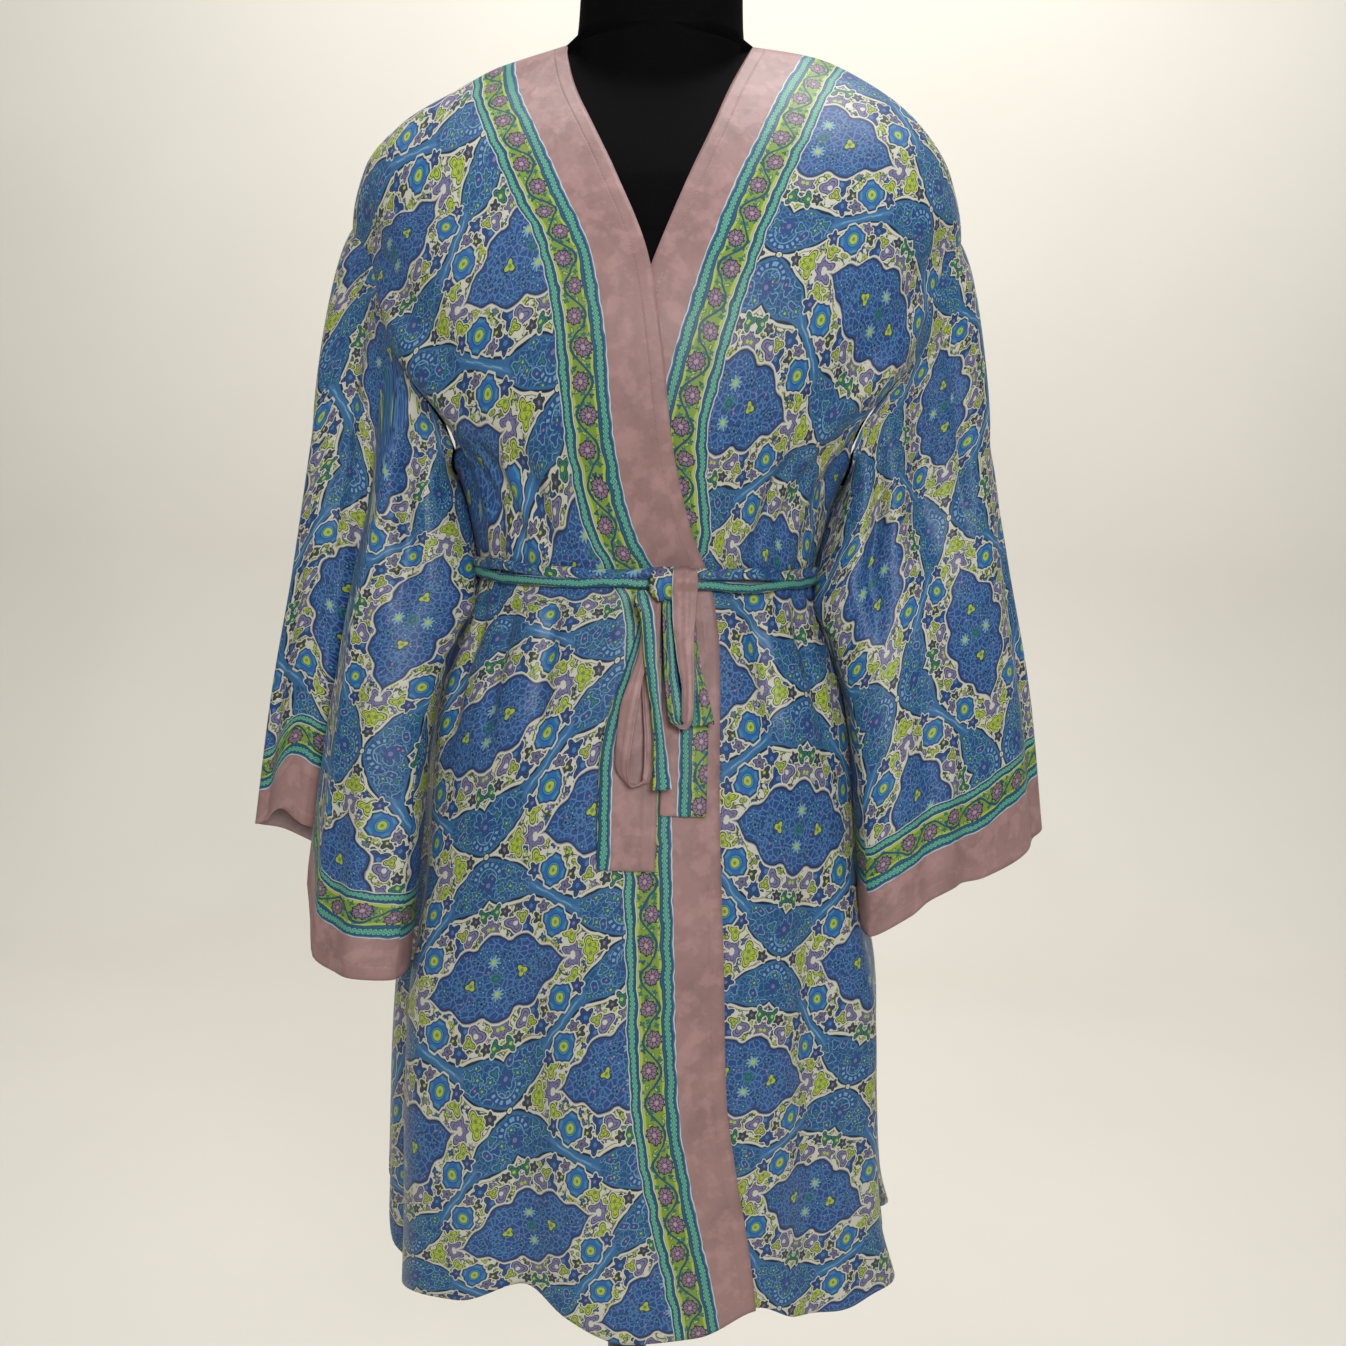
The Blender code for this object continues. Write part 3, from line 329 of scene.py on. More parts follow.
BACK_PRINT_ACROSS = 0.60

# Sash, knot and straps
LAP_END = 34            # the strands come back in past the lapped front's edge, from this angle
LAP_END_SPAN = 24       # over this many degrees
WAIST = 1.0660
KNOT_ACROSS = 0.0135
KNOT_SIZE = (0.019, 0.013, 0.022)
KNOT_SQUARE = 2.6       # 2 is an ellipsoid; above it the knot is boxier
KNOT_LIFT = 0.0114
STRAP_TOP = 1.0527
TAILS = Table("tail foot top_left top_right foot_left foot_right", (
    (1, 0.880, 0.0000, 0.0120, -0.0250, 0.0130), (2, 0.916, 0.0140, 0.0260, 0.0150, 0.0450),
))
STRAND_COLUMNS = 288
STRAND_ROWS = 20
STRAND_NEAR = 0.008     # a strand clears the cloth this far above and below it
STRAND_CLEAR = 0.0013   # from the middle of the cloth to the strand
STRAP_ROWS = 96
BOW_ROWS = 144
STRAP_COLUMNS = 14
TAIL_LIFT = 0.0016
TAIL_KNOT_LIFT = 0.0060
# The bows and the folded straps beside them: lift is how far each stands off the cloth behind it
BOW_LEFT = Table("way across height lift width turn", (
    (0.00, 0.0035, STRAP_TOP, 0.0120, 0.0050, 5), (0.10, 0.0018, 1.0213, 0.0122, 0.0058, 10),
    (0.20, -0.0025, 1.0034, 0.0125, 0.0086, 15), (0.29, -0.0066, 0.9854, 0.0125, 0.0118, 18),
    (0.37, -0.0086, 0.9675, 0.0122, 0.0112, 22), (0.45, -0.0100, 0.9496, 0.0115, 0.0100, 32),
    (0.52, -0.0030, 0.9367, 0.0100, 0.0080, 90), (0.58, 0.0058, 0.9400, 0.0090, 0.0062, 140),
    (0.64, 0.0071, 0.9496, 0.0086, 0.0058, 168), (0.73, 0.0066, 0.9675, 0.0084, 0.0054, 176),
    (0.82, 0.0048, 0.9854, 0.0084, 0.0048, 178), (0.91, 0.0036, 1.0034, 0.0084, 0.0045, 180),
    (1.00, 0.0050, 1.0400, 0.0088, 0.0045, 180),
))
FOLD_LEFT = Table("way across height lift width turn", (
    (0.00, -0.0010, 1.0600, 0.0175, 0.0070, -25), (0.08, 0.0006, 1.0540, 0.0190, 0.0105, -15),
    (0.18, 0.0041, 1.0440, 0.0185, 0.0095, 0), (0.40, 0.0069, 1.0159, 0.0182, 0.0088, 10),
    (0.60, 0.0112, 0.9854, 0.0178, 0.0074, 20), (0.75, 0.0138, 0.9678, 0.0172, 0.0084, 10),
    (0.90, 0.0157, 0.9497, 0.0165, 0.0108, 0), (1.00, 0.0169, 0.9360, 0.0160, 0.0132, -5),
))
BOW_RIGHT = Table("way across height lift width turn", (
    (0.00, 0.0262, 1.0745, 0.0075, 0.0150, 0), (0.05, 0.0266, 1.0730, 0.0155, 0.0158, 0),
    (0.10, 0.0270, 1.0660, 0.0200, 0.0168, 0), (0.24, 0.0270, 1.0464, 0.0190, 0.0155, 0),
    (0.34, 0.0274, 1.0321, 0.0178, 0.0128, 5), (0.44, 0.0289, 1.0159, 0.0168, 0.0108, 12),
    (0.54, 0.0307, 0.9998, 0.0160, 0.0084, 20), (0.63, 0.0309, 0.9854, 0.0154, 0.0076, 15),
    (0.70, 0.0300, 0.9775, 0.0145, 0.0074, 40), (0.74, 0.0272, 0.9755, 0.0125, 0.0078, 90),
    (0.78, 0.0238, 0.9785, 0.0108, 0.0092, 150), (0.84, 0.0227, 0.9880, 0.0100, 0.0098, 180),
    (0.91, 0.0195, 1.0069, 0.0096, 0.0080, 180), (0.96, 0.0172, 1.0338, 0.0098, 0.0068, 180),
    (1.00, 0.0158, 1.0540, 0.0105, 0.0060, 180),
))
FOLD_RIGHT = Table("way across height lift width turn", (
    (0.00, 0.0325, 1.0430, 0.0125, 0.0040, 0), (0.25, 0.0341, 1.0249, 0.0125, 0.0046, 0),
    (0.50, 0.0368, 1.0069, 0.0120, 0.0072, -10), (0.75, 0.0394, 0.9908, 0.0112, 0.0108, 10),
    (1.00, 0.0412, 0.9755, 0.0105, 0.0148, 0),
))

# The dress form: level sections of neck and torso
FORM = Table("height side front back power", (
    (0.7200, 0.142, 0.112, 0.110, 2.1), (0.7300, 0.148, 0.118, 0.116, 2.1),
    (0.8500, 0.149, 0.122, 0.122, 2.1), (0.9200, 0.144, 0.118, 0.118, 2.1),
    (0.9800, 0.135, 0.109, 0.105, 2.1), (1.0300, 0.122, 0.099, 0.092, 2.1),
    (1.0640, 0.115, 0.094, 0.085, 2.1), (1.1000, 0.120, 0.101, 0.087, 2.1),
    (1.1500, 0.134, 0.113, 0.090, 2.1), (1.2000, 0.148, 0.119, 0.094, 2.1),
    (1.2500, 0.160, 0.112, 0.095, 2.1), (1.2900, 0.173, 0.098, 0.092, 2.1),
))
NECK_FOOT = 1.4300
NECK = Table("height side front back power", (
    (NECK_FOOT, 0.0575, 0.044, 0.054, 2.0), (1.4400, 0.0565, 0.044, 0.053, 2.0),
    (1.4620, 0.0555, 0.044, 0.052, 2.0), (1.4780, 0.0550, 0.044, 0.052, 2.0),
))
FORM_SIDES = 112
CAP_RISE = 0.012
# The rings of the neck's cap: share of its rise, and share of the neck's width
CAP_RINGS = ((0.02, 0.992), (0.30, 0.975), (0.62, 0.90), (0.85, 0.74), (1.0, 0.45), (1.02, 0.2))
SHOULDER_CLEAR = 0.0022  # from the middle of the robe's cloth down to the shoulders it lies on


class RobeCloth(bpy.types.PropertyGroup):
    """Sizes of the cloth."""

    thickness: bpy.props.FloatProperty(
        name="Cloth thickness", description="Thickness of the shown cloth",
        default=0.0009, min=0.0004, max=0.002, unit="LENGTH",
    )
    fold_depth: bpy.props.FloatProperty(
        name="Fold depth", description="How deep the fine creases are, as a share of the depths given",
        default=1.3, min=0.0, max=1.5, subtype="FACTOR",
    )
    gather: bpy.props.FloatProperty(
        name="Waist gathers", description="Depth of the small gathers above and below the sash",
        default=0.0015, min=0.0, max=0.003, unit="LENGTH",
    )


class RobeColours(bpy.types.PropertyGroup):
    """Colours of the print and of the dress form."""

    mauve: bpy.props.FloatVectorProperty(
        name="Plain band", subtype="COLOR", default=(0.290, 0.170, 0.158),
        description="Colour of the plain edge band",
    )
    royal: bpy.props.FloatVectorProperty(
        name="Royal blue", subtype="COLOR", default=(0.013, 0.052, 0.178),
        description="Ground of the medallions",
    )
    ribbon: bpy.props.FloatVectorProperty(
        name="Ribbon blue", subtype="COLOR", default=(0.022, 0.110, 0.245),
        description="Ribbons and fans between the medallions",
    )
    cream: bpy.props.FloatVectorProperty(
        name="Cream", subtype="COLOR", default=(0.500, 0.490, 0.400),
        description="Ground round the medallions",
    )
    lime: bpy.props.FloatVectorProperty(
        name="Lime", subtype="COLOR", default=(0.330, 0.420, 0.035),
        description="Leaves and flower hearts",
    )
    teal: bpy.props.FloatVectorProperty(
        name="Teal", subtype="COLOR", default=(0.008, 0.072, 0.100),
        description="Vine of the border",
    )
    form: bpy.props.FloatVectorProperty(
        name="Dress form", subtype="COLOR", default=(0.0022, 0.0022, 0.0024),
        description="Colour of the dress form's jersey",
    )


def ease(t):
    """A smooth step from 0 to 1."""
    t = np.clip(t, 0.0, 1.0)
    return t * t * (3 - 2 * t)


STEPS = np.linspace(0, 20, 4001)
STEP_HEIGHTS = BODY.at("height", STEPS)


def step_at(height):
    """The step of BODY at a height."""
    return np.interp(-np.asarray(height), -STEP_HEIGHTS, STEPS)


def unit(vectors):
    """Vectors made one metre long."""
    return vectors / np.maximum(np.linalg.norm(vectors, axis=-1, keepdims=True), 1e-12)


def turned(angle, centre):
    """The way from one angle to another, from -180 to 180 degrees."""
    return (angle - centre + 180) % 360 - 180


def bell(distance, width):
    """1 in the middle, and near 0 two widths away."""
    return np.exp(-((distance / width) ** 2))


def soft_folds(rows, angle, place, runs_out):
    """How far folds push the cloth out. runs_out tells whether one with such a foot goes on to the edge."""
    total = np.zeros(np.broadcast(angle, place).shape)
    for angle_top, angle_foot, top, foot, width, depth in rows:
        way = (top - place) / (top - foot)
        inside = np.clip(way, 0, 1)
        strength = ease(way * 2) if runs_out(foot) else np.sin(np.pi * inside) ** 2
        centre = angle_top + (angle_foot - angle_top) * inside
        total = total + depth * strength * bell(turned(angle, centre), width)
    return total


def fold_depth(angle, height):
    """How far the body's folds push its cloth out at a place."""
    return soft_folds(FOLDS, angle, height, lambda foot: foot < HEM_REACHED)


def sleeve_folds(side, angle, way):
    """How far a sleeve's own folds push its cloth out."""
    return soft_folds(SLEEVE_FOLDS[side], angle, way, lambda foot: foot >= 1)


def crease_depth(angle, height):
    """The finer creases: troughs along short lines, and small gathers above and below the sash."""
    cloth = bpy.context.scene.robe_cloth
    total = np.zeros(np.broadcast(angle, height).shape)
    for angle_a, height_a, angle_b, height_b, width, depth in CREASES:
        run = np.array([(angle_b - angle_a) * METRES_PER_DEGREE, height_b - height_a])
        across = turned(angle, angle_a) * METRES_PER_DEGREE
        up = height - height_a
        way = (across * run[0] + up * run[1]) / (run @ run)
        off = np.hypot(across - run[0] * way, up - run[1] * way)
        total = total + depth * bell(off, width) * ease(way * 2.5 + 0.5) * ease(2.8 - way * 2.3)
    near_sash = bell(height - WAIST, 0.035) * (1 - bell(height - WAIST, 0.006))
    turn = np.radians(angle)
    ripple = np.sin(31 * turn + 1.3 * np.sin(5 * turn)) * (0.6 + 0.4 * np.sin(7 * turn + 1.0))
    return total * cloth.fold_depth + cloth.gather * near_sash * ripple


def lapped_out(angle):
    """How far the lapped front stands out at an angle."""
    start, full = LAP_ANGLES
    return LAP * ease((angle - start) / (full - start))


def section_point(angle, step, push=0.0):
    """A point on the robe's body at an angle round it, pushed outwards."""
    turn = np.radians(angle)
    across, ahead = np.sin(turn), np.cos(turn)
    power = BODY.at("round", step)
    scale = (np.abs(across) ** power + np.abs(ahead) ** power) ** (-1 / power)
    reach = np.where(across > 0, BODY.at("right", step), BODY.at("left", step))
    depth = np.where(ahead > 0, BODY.at("front", step), BODY.at("back", step))
    x, y = reach * across * scale, -depth * ahead * scale
    out_x, out_y = x / reach**2, y / depth**2
    length = np.hypot(out_x, out_y)
    z = BODY.at("height", step) - BODY.at("sag", step) * np.maximum(0.0, -across)
    return np.stack([x + out_x / length * push, y + out_y / length * push, z], axis=-1)


def body_point(angle, step, lapped=False):
    """A point in the middle of the body's cloth. The lapped front stands out over the other."""
    height = BODY.at("height", step)
    push = fold_depth(angle, height) + crease_depth(angle, height)
    if lapped:
        push = push + lapped_out(angle)
    return section_point(angle, step, push)


def body_normal(angle, step, lapped=False):
    """The outward direction of the body's cloth."""
    step = np.clip(step, 0.04, 19.98)
    along = body_point(angle + 0.5, step, lapped) - body_point(angle - 0.5, step, lapped)
    down = body_point(angle, step + 0.02, lapped) - body_point(angle, step - 0.02, lapped)
    return unit(np.cross(down, along))


def angle_at(across, step):
    """The angle on the front at which the body's section is a distance from the middle."""
    low, high = np.full(np.shape(step), -SIDE), np.full(np.shape(step), SIDE)
    for _ in range(30):
        middle = (low + high) / 2
        left_of = section_point(middle, step)[..., 0] < across
        low, high = np.where(left_of, middle, low), np.where(left_of, high, middle)
    return (low + high) / 2


def hole_share(step):
    """How wide the armhole's oval is at a step, as a share of its full width."""
    return np.sqrt(np.maximum(0.0, 1 - ((step - HOLE_MIDDLE) / HOLE_HALF) ** 2))


def panel_steps():
    """The steps of a panel's rows down to the top of the skirt, close together round the armhole's ends."""
    shoulder = np.linspace(0.05, HOLE_MIDDLE - HOLE_HALF, SHOULDER_ROWS, endpoint=False)
    arm = HOLE_MIDDLE - HOLE_HALF * np.cos(np.pi * np.linspace(0, 1, ARM_ROWS + 1))
    waist = np.linspace(HOLE_MIDDLE + HOLE_HALF, SKIRT_TOP, WAIST_ROWS + 1)[1:]
    return np.concatenate([shoulder, arm, waist])


def panel_grid(columns, ends_of, hem):
    """Angles and steps of a panel's rows and columns. ends_of(step) gives its first and last angle."""
    share = np.linspace(0, 1, columns + 1)[None, :]
    fixed = panel_steps()
    down = np.arange(1, SKIRT_ROWS + 1)[:, None] / SKIRT_ROWS
    hem_step = np.full((1, columns + 1), 20.0)
    for _ in range(4):
        skirt = SKIRT_TOP + (hem_step - SKIRT_TOP) * down
        steps = np.vstack([np.repeat(fixed[:, None], columns + 1, axis=1), skirt])
        start, end = ends_of(steps)
        angles = start + (end - start) * share
        hem_step = step_at(hem.at("height", angles[-1:]))
    return angles, steps


def along(points, axis):
    """Distance walked over the points along an axis of the grid."""
    gaps = np.linalg.norm(np.diff(points, axis=axis), axis=-1)
    zero = np.zeros_like(np.take(gaps, [0], axis=axis))
    return np.concatenate([zero, np.cumsum(gaps, axis=axis)], axis=axis)


def walk_from_edge(points):
    """Distances in from the front edge, the last column, and along it, over a front panel."""
    inward = points[:, ::-1]
    travel = np.gradient(inward[:, 0], axis=0)
    smooth = np.ones(21) / 21
    padded = np.pad(travel, ((10, 10), (0, 0)), mode="edge")
    travel = np.stack([np.convolve(part, smooth, mode="valid") for part in padded.T], axis=-1)
    normal = unit(np.cross(np.gradient(inward, axis=0), np.gradient(inward, axis=1)))
    local = travel[:, None] - normal * np.sum(travel[:, None] * normal, axis=-1, keepdims=True)
    local = unit(local)
    moves = np.diff(inward, axis=1)
    down = np.sum(moves * (local[:, 1:] + local[:, :-1]) / 2, axis=-1)
    across = np.sqrt(np.maximum(0.0, np.sum(moves * moves, axis=-1) - down * down))
    start = along(inward[:, :1], 0)
    zero = np.zeros_like(start)
    from_edge = np.concatenate([zero, np.cumsum(across, axis=1)], axis=1)[:, ::-1]
    along_edge = np.concatenate([zero, np.cumsum(down, axis=1)], axis=1)[:, ::-1] + start
    return from_edge, along_edge


def plain_field(places):
    """The place in the print's repeats, in half repeats, for a piece that hangs straight along its band."""
    return np.stack([(places[..., 0] - FIELD_START) / HALF_ACROSS, places[..., 1] / HALF_DOWN], axis=-1)


def bend_terms(place, along_edge):
    """The terms of a smooth bend at places on a piece, in cm."""
    x, t = np.asarray(place, float), np.asarray(along_edge, float)
    return np.stack([np.ones_like(x), x, t, x * x, x * t, t * t], axis=-1)


def bent_field(place, along_edge, centres):
    """The place in the print's repeats where the cloth is pulled: the smooth bend that comes
    nearest to where the centres of repeats lie."""
    into, along_it, across, down, count = np.array(centres).T
    seen = bend_terms(into, along_it) * count[:, None]
    lattice = np.stack([across, down], axis=-1) * count[:, None]
    bend = np.linalg.lstsq(seen, lattice, rcond=None)[0]
    return bend_terms(place * 100, along_edge * 100) @ bend


def grid_cloth(points, places, edge, field=None):
    """A grid of cloth with its print places, repeats and each point's distance to a hem."""
    if field is None:
        field = plain_field(places)
    maker = bmesh.new()
    maps = [(maker.loops.layers.uv.new("print"), places), (maker.loops.layers.uv.new("repeat"), field)]
    hem_map = maker.verts.layers.float.new("hem")
    rows, columns = points.shape[0] - 1, points.shape[1] - 1
    corners = bmesh.ops.create_grid(maker, x_segments=columns, y_segments=rows, size=1.0)["verts"]
    edge = np.broadcast_to(edge, points.shape[:2])
    for vertex, point, far in zip(corners, points.reshape(-1, 3), edge.ravel()):
        vertex.co = point
        vertex[hem_map] = far
    maker.verts.index_update()
    for layer, values in maps:
        flat = values.reshape(-1, 2)
        for face in maker.faces:
            for loop in face.loops:
                loop[layer].uv = flat[loop.vert.index]
    return maker, corners


def lay(name, points, places, edge, outward, field=None, closed=False, silk="robe"):
    """A piece of cloth from a grid of points, its print places and each point's distance to a hem."""
    maker, corners = grid_cloth(points, places, edge, field)
    rows, columns = points.shape[0] - 1, points.shape[1] - 1
    maker.normal_update()
    middle = Vector(points[rows // 2, columns // 2])
    nearest = min(maker.faces, key=lambda face: (face.calc_center_median() - middle).length)
    if nearest.normal.dot(Vector(outward)) < 0:
        bmesh.ops.reverse_faces(maker, faces=maker.faces)
    if closed:
        firsts = range(0, len(corners), columns + 1)
        bmesh.ops.weld_verts(maker, targetmap={corners[first + columns]: corners[first] for first in firsts})
    return cloth_object(name, maker, silk)


def new_piece(name, maker, material):
    """An object in the scene from a finished mesh, shaded smooth."""
    mesh = bpy.data.meshes.new(name)
    maker.to_mesh(mesh)
    maker.free()
    mesh.shade_smooth()
    mesh.materials.append(material)
    piece = bpy.data.objects.new(name, mesh)
    bpy.context.scene.collection.objects.link(piece)
    return piece


def cloth_object(name, maker, silk, walls=True):
    """A named piece of cloth with its thickness, its printed face and its paler reverse."""
    piece = new_piece(name, maker, printed_silk(silk + "_crepe", 0.0))
    if walls:
        piece.data.materials.append(printed_silk(silk + "_crepe_reverse", REVERSE_PALER))
        shell = piece.modifiers.new("thickness", "SOLIDIFY")
        shell.thickness = bpy.context.scene.robe_cloth.thickness
        shell.offset = 0.0
        shell.material_offset = 1
        shell.use_rim = True
    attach(piece, "root")
    return piece


def hem_distance(points, sides):
    """Distance of each point to the nearest of the named sides of the grid."""
    walks = {
        "top": along(points, 0),
        "foot": along(points[::-1], 0)[::-1],
        "first": along(points, 1),
        "last": along(points[:, ::-1], 1)[:, ::-1],
    }
    return np.minimum.reduce([walks[side] for side in sides])


def make_front(name, side, lapped, edge_table, band_column, centres, node):
    """One front panel, from its side seam to its front edge."""

    def ends_of(steps):
        heights = BODY.at("height", steps)
        hole = HOLE_FRONT * hole_share(steps)
        return side * (SIDE - hole), angle_at(edge_table.at("across", heights), steps)

    angles, steps = panel_grid(FRONT_COLUMNS, ends_of, FRONT_HEM)
    points = body_point(angles, steps, lapped)
    from_edge, along_edge = walk_from_edge(points)
    band = PLAIN_BAND.at(band_column, points[:, -1, 2])
    places = np.stack([from_edge - band[:, None], along_edge], axis=-1)
    above, below = (bent_field(from_edge, along_edge, rows) for rows in centres)
    field = np.where(points[..., 2:] > WAIST, above, below)
    outward = body_normal(angles, steps, lapped)[points.shape[0] // 2, FRONT_COLUMNS // 2]
    piece = lay(name, points, places, hem_distance(points, ("foot", "last")), outward, field)
    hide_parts(node)
    return piece


def make_back():
    """The back panel, from the side seam at +X round to the one at -X."""

    def ends_of(steps):
        hole = HOLE_BACK * hole_share(steps)
        return SIDE + hole, 360 - SIDE - hole

    angles, steps = panel_grid(BACK_COLUMNS, ends_of, BACK_HEM)
    points = body_point(angles, steps)
    middle = BACK_COLUMNS // 2
    across = along(points, 1)
    across = across - across[:, middle : middle + 1]
    down = along(points, 0)[:, middle]
    places = np.stack([across + BACK_PRINT_ACROSS, np.broadcast_to(down[:, None], across.shape)], axis=-1)
    outward = body_normal(angles, steps)[points.shape[0] // 2, middle]
    piece = lay("robe_back", points, places, hem_distance(points, ("foot",)), outward)
    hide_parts("back")
    return piece


def armhole_spot(side, angle):
    """The angle and step of the body at a place round the armhole, 0 at its top and 90 at its front."""
    turn = np.radians(angle)
    hole = np.where(np.sin(turn) > 0, HOLE_FRONT, HOLE_BACK)
    return side * (SIDE - hole * np.sin(turn)), HOLE_MIDDLE - HOLE_HALF * np.cos(turn)


def underarm(angle):
    """How much a place round the armhole belongs to the underarm, where the cloth turns back on itself."""
    start = np.where(angle % 360 < 180, UNDERARM_FRONT, UNDERARM_BACK)
    return ease((np.abs(turned(angle, 0)) - start) / UNDERARM_SPAN)


def sleeve_point(side, run, loop, angle, way):
    """A point of a sleeve, angle 0 at its outer edge and 90 at its front."""
    spot = armhole_spot(side, angle)
    out_of_body = body_normal(*spot) * (UNDERARM_OUT * underarm(angle))[..., None]
    rim = body_point(*spot) + out_of_body
    blend = ease(way / SHOULDER_WAY)[..., None]
    shape = ease((way - CUFF_SHAPE_START) / CUFF_SHAPE_SPAN)
    round_it = angle % 360
    long_share = loop.at("along_top", round_it) * (1 - shape) + loop.at("along_cuff", round_it) * shape
    short_share = loop.at("across_top", round_it) * (1 - shape) + loop.at("across_cuff", round_it) * shape
    swing = np.radians(run.at("turn", way))
    long_way, short_way = run.at("long", way) * long_share, run.at("short", way) * short_share
    out = run.at("out", way) + long_way * np.cos(swing) + short_way * np.sin(swing)
    y = -run.at("ahead", way) + long_way * np.sin(swing) - short_way * np.cos(swing)
    z = run.at("height", way) + run.at("tilt", way) * long_share + loop.at("drop", round_it) * way**2
    free = np.stack([side * out, y, z], axis=-1)
    return rim * (1 - blend) + free * blend


def make_sleeve(name, side, run, loop, band_column, centres, node):
    """One wide sleeve, from the armhole down to its open cuff. Its seam runs along the underarm."""
    way = (np.linspace(0, 1, SLEEVE_ROWS + 1)[:, None]) ** SLEEVE_SPREAD
    angle = 180 + np.linspace(0, 360, ARM_COLUMNS + 1)[None, :]
    way, angle = np.broadcast_arrays(way, angle)
    points = sleeve_point(side, run, loop, angle, way)
    behind, ahead = (sleeve_point(side, run, loop, angle + turn, way) for turn in (-1.5, 1.5))
    ways = np.maximum(way - 0.01, 0.0), np.minimum(way + 0.01, 1.0)
    above, below = (sleeve_point(side, run, loop, angle, place) for place in ways)
    normals = unit(np.cross(below - above, ahead - behind)) * -side
    cloth = bpy.context.scene.robe_cloth
    points[:, -1] = points[:, 0]
    around = along(points, 1)
    points = points + normals * (sleeve_folds(side, angle, way) * cloth.fold_depth)[..., None]
    points[:, -1] = points[:, 0]
    middle = ARM_COLUMNS // 2
    around = around - around[:, middle : middle + 1]
    up = along(points[::-1], 0)[::-1]
    places = np.stack([up - CUFF_BAND.at(band_column, around), around], axis=-1)
    outward = normals[SLEEVE_ROWS // 2, middle]
    field = bent_field(up, around, centres)
    piece = lay(name, points, places, hem_distance(points, ("foot",)), outward, field, closed=True)
    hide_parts(node)
    return piece


def skin_point(across, height):
    """The outer face of the lapped front at a distance from the middle and a height."""
    step = step_at(height)
    angle = angle_at(across, step)
    return body_point(angle, step, True) + body_normal(angle, step, True) * 0.001


def skin_y(across, height):
    """How far forward anything must stay to clear the lapped front near a place."""
    return np.minimum.reduce([skin_point(across + shift, height)[..., 1] for shift in (-0.012, 0.0, 0.012)])


def make_strand(name, height, half_height, half_depth, print_from, print_to, phase):
    """One of the wound sash's two strands: a soft roll round the waist with pleats along it."""
    angle = np.linspace(-180, 180, STRAND_COLUMNS + 1)[None, :]
    profile = np.pi + np.linspace(0, 2 * np.pi, STRAND_ROWS + 1)[:, None]
    angle, profile = np.broadcast_arrays(angle, profile)
    turn = np.radians(angle)
    lap = lapped_out(angle) * (1 - ease((angle - LAP_END) / LAP_END_SPAN))
    waist = np.full_like(angle, step_at(WAIST))
    outward = unit(section_point(angle, waist, 0.01) - section_point(angle, waist, 0.0))
    near = (step_at(np.full_like(angle, WAIST + rise)) for rise in (-STRAND_NEAR, 0.0, STRAND_NEAR))
    around = [section_point(angle, step, 0.0) for step in near]
    folds = fold_depth(angle, np.full_like(angle, WAIST))
    reach = np.maximum.reduce([np.sum(spot * outward, axis=-1) for spot in around]) + folds
    base = around[1] + outward * (reach - np.sum(around[1] * outward, axis=-1))[..., None]
    uneven = 0.6 + 0.4 * np.sin(11 * turn + phase)
    pleat = 1 + 0.16 * np.cos(3 * profile + 2.4 * np.sin(3 * turn + phase)) * uneven
    sway = 0.0009 * np.sin(5 * turn + phase) + 0.0005 * np.sin(13 * turn + 2 * phase)
    out = lap + STRAND_CLEAR + half_depth * (1 + np.cos(profile) * pleat)
    points = base + outward * out[..., None]
    points[..., 2] = WAIST + height + sway + half_height * np.sin(profile) * pleat
    points[-1] = points[0]
    points[:, -1] = points[:, 0]
    share = profile / (2 * np.pi) - 0.5
    run = along(points, 1)
    places = np.stack([(print_from + (print_to - print_from) * share) * np.ones_like(run), run], axis=-1)
    maker, _ = grid_cloth(points, places, 0.02)
    bmesh.ops.remove_doubles(maker, verts=maker.verts, dist=0.000001)
    bmesh.ops.recalc_face_normals(maker, faces=maker.faces)
    return cloth_object(name, maker, "sash", walls=False)


def strip(name, centre, flat, width, print_left, print_right, bow):
    """A flat strip of the sash along a line of middles, with its print from one edge to the other."""
    share = np.linspace(-0.5, 0.5, STRAP_COLUMNS + 1)[None, :]
    travel = unit(np.gradient(centre, axis=0))
    flat = unit(flat - travel * np.sum(flat * travel, axis=-1, keepdims=True))
    front = np.cross(travel, flat)
    points = centre[:, None] + flat[:, None] * (width[:, None] * share)[..., None]
    lift = bow * (np.cos(2 * np.pi * share) + 0.5 * np.sin(5 * np.pi * share)) * np.ones_like(width)[:, None]
    points = points + front[:, None] * lift[..., None]
    walk = along(centre[:, None], 0)[:, 0]
    across = print_left + (print_right - print_left) * (share + 0.5)
    places = np.stack(np.broadcast_arrays(across, walk[:, None]), axis=-1)
    edge = np.minimum((0.5 - np.abs(share)) * width[:, None], 1.0)
    return lay(name, points, places, edge, front[len(centre) // 2], silk="sash")


def make_tail(name, number, print_left, print_right, node):
    """One hanging end of the sash."""
    way = np.linspace(0, 1, STRAP_ROWS + 1) ** 1.1
    top = STRAP_TOP + 0.003
    height = top + (TAILS.at("foot", number) - top) * way
    spread = ease(way * 1.6)
    left = TAILS.at("top_left", number) * (1 - spread) + TAILS.at("foot_left", number) * spread
    right = TAILS.at("top_right", number) * (1 - spread) + TAILS.at("foot_right", number) * spread
    across = (left + right) / 2
    lift = TAIL_LIFT + (TAIL_KNOT_LIFT - TAIL_LIFT) * (1 - ease(way * 6))
    centre = np.stack([across, skin_y(across, height) - lift, height], axis=-1)
    flat = np.broadcast_to(np.array([1.0, 0.0, 0.0]), centre.shape)
    piece = strip(name, centre, flat, right - left, print_left, print_right, bow=0.0006)
    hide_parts(node)
    return piece


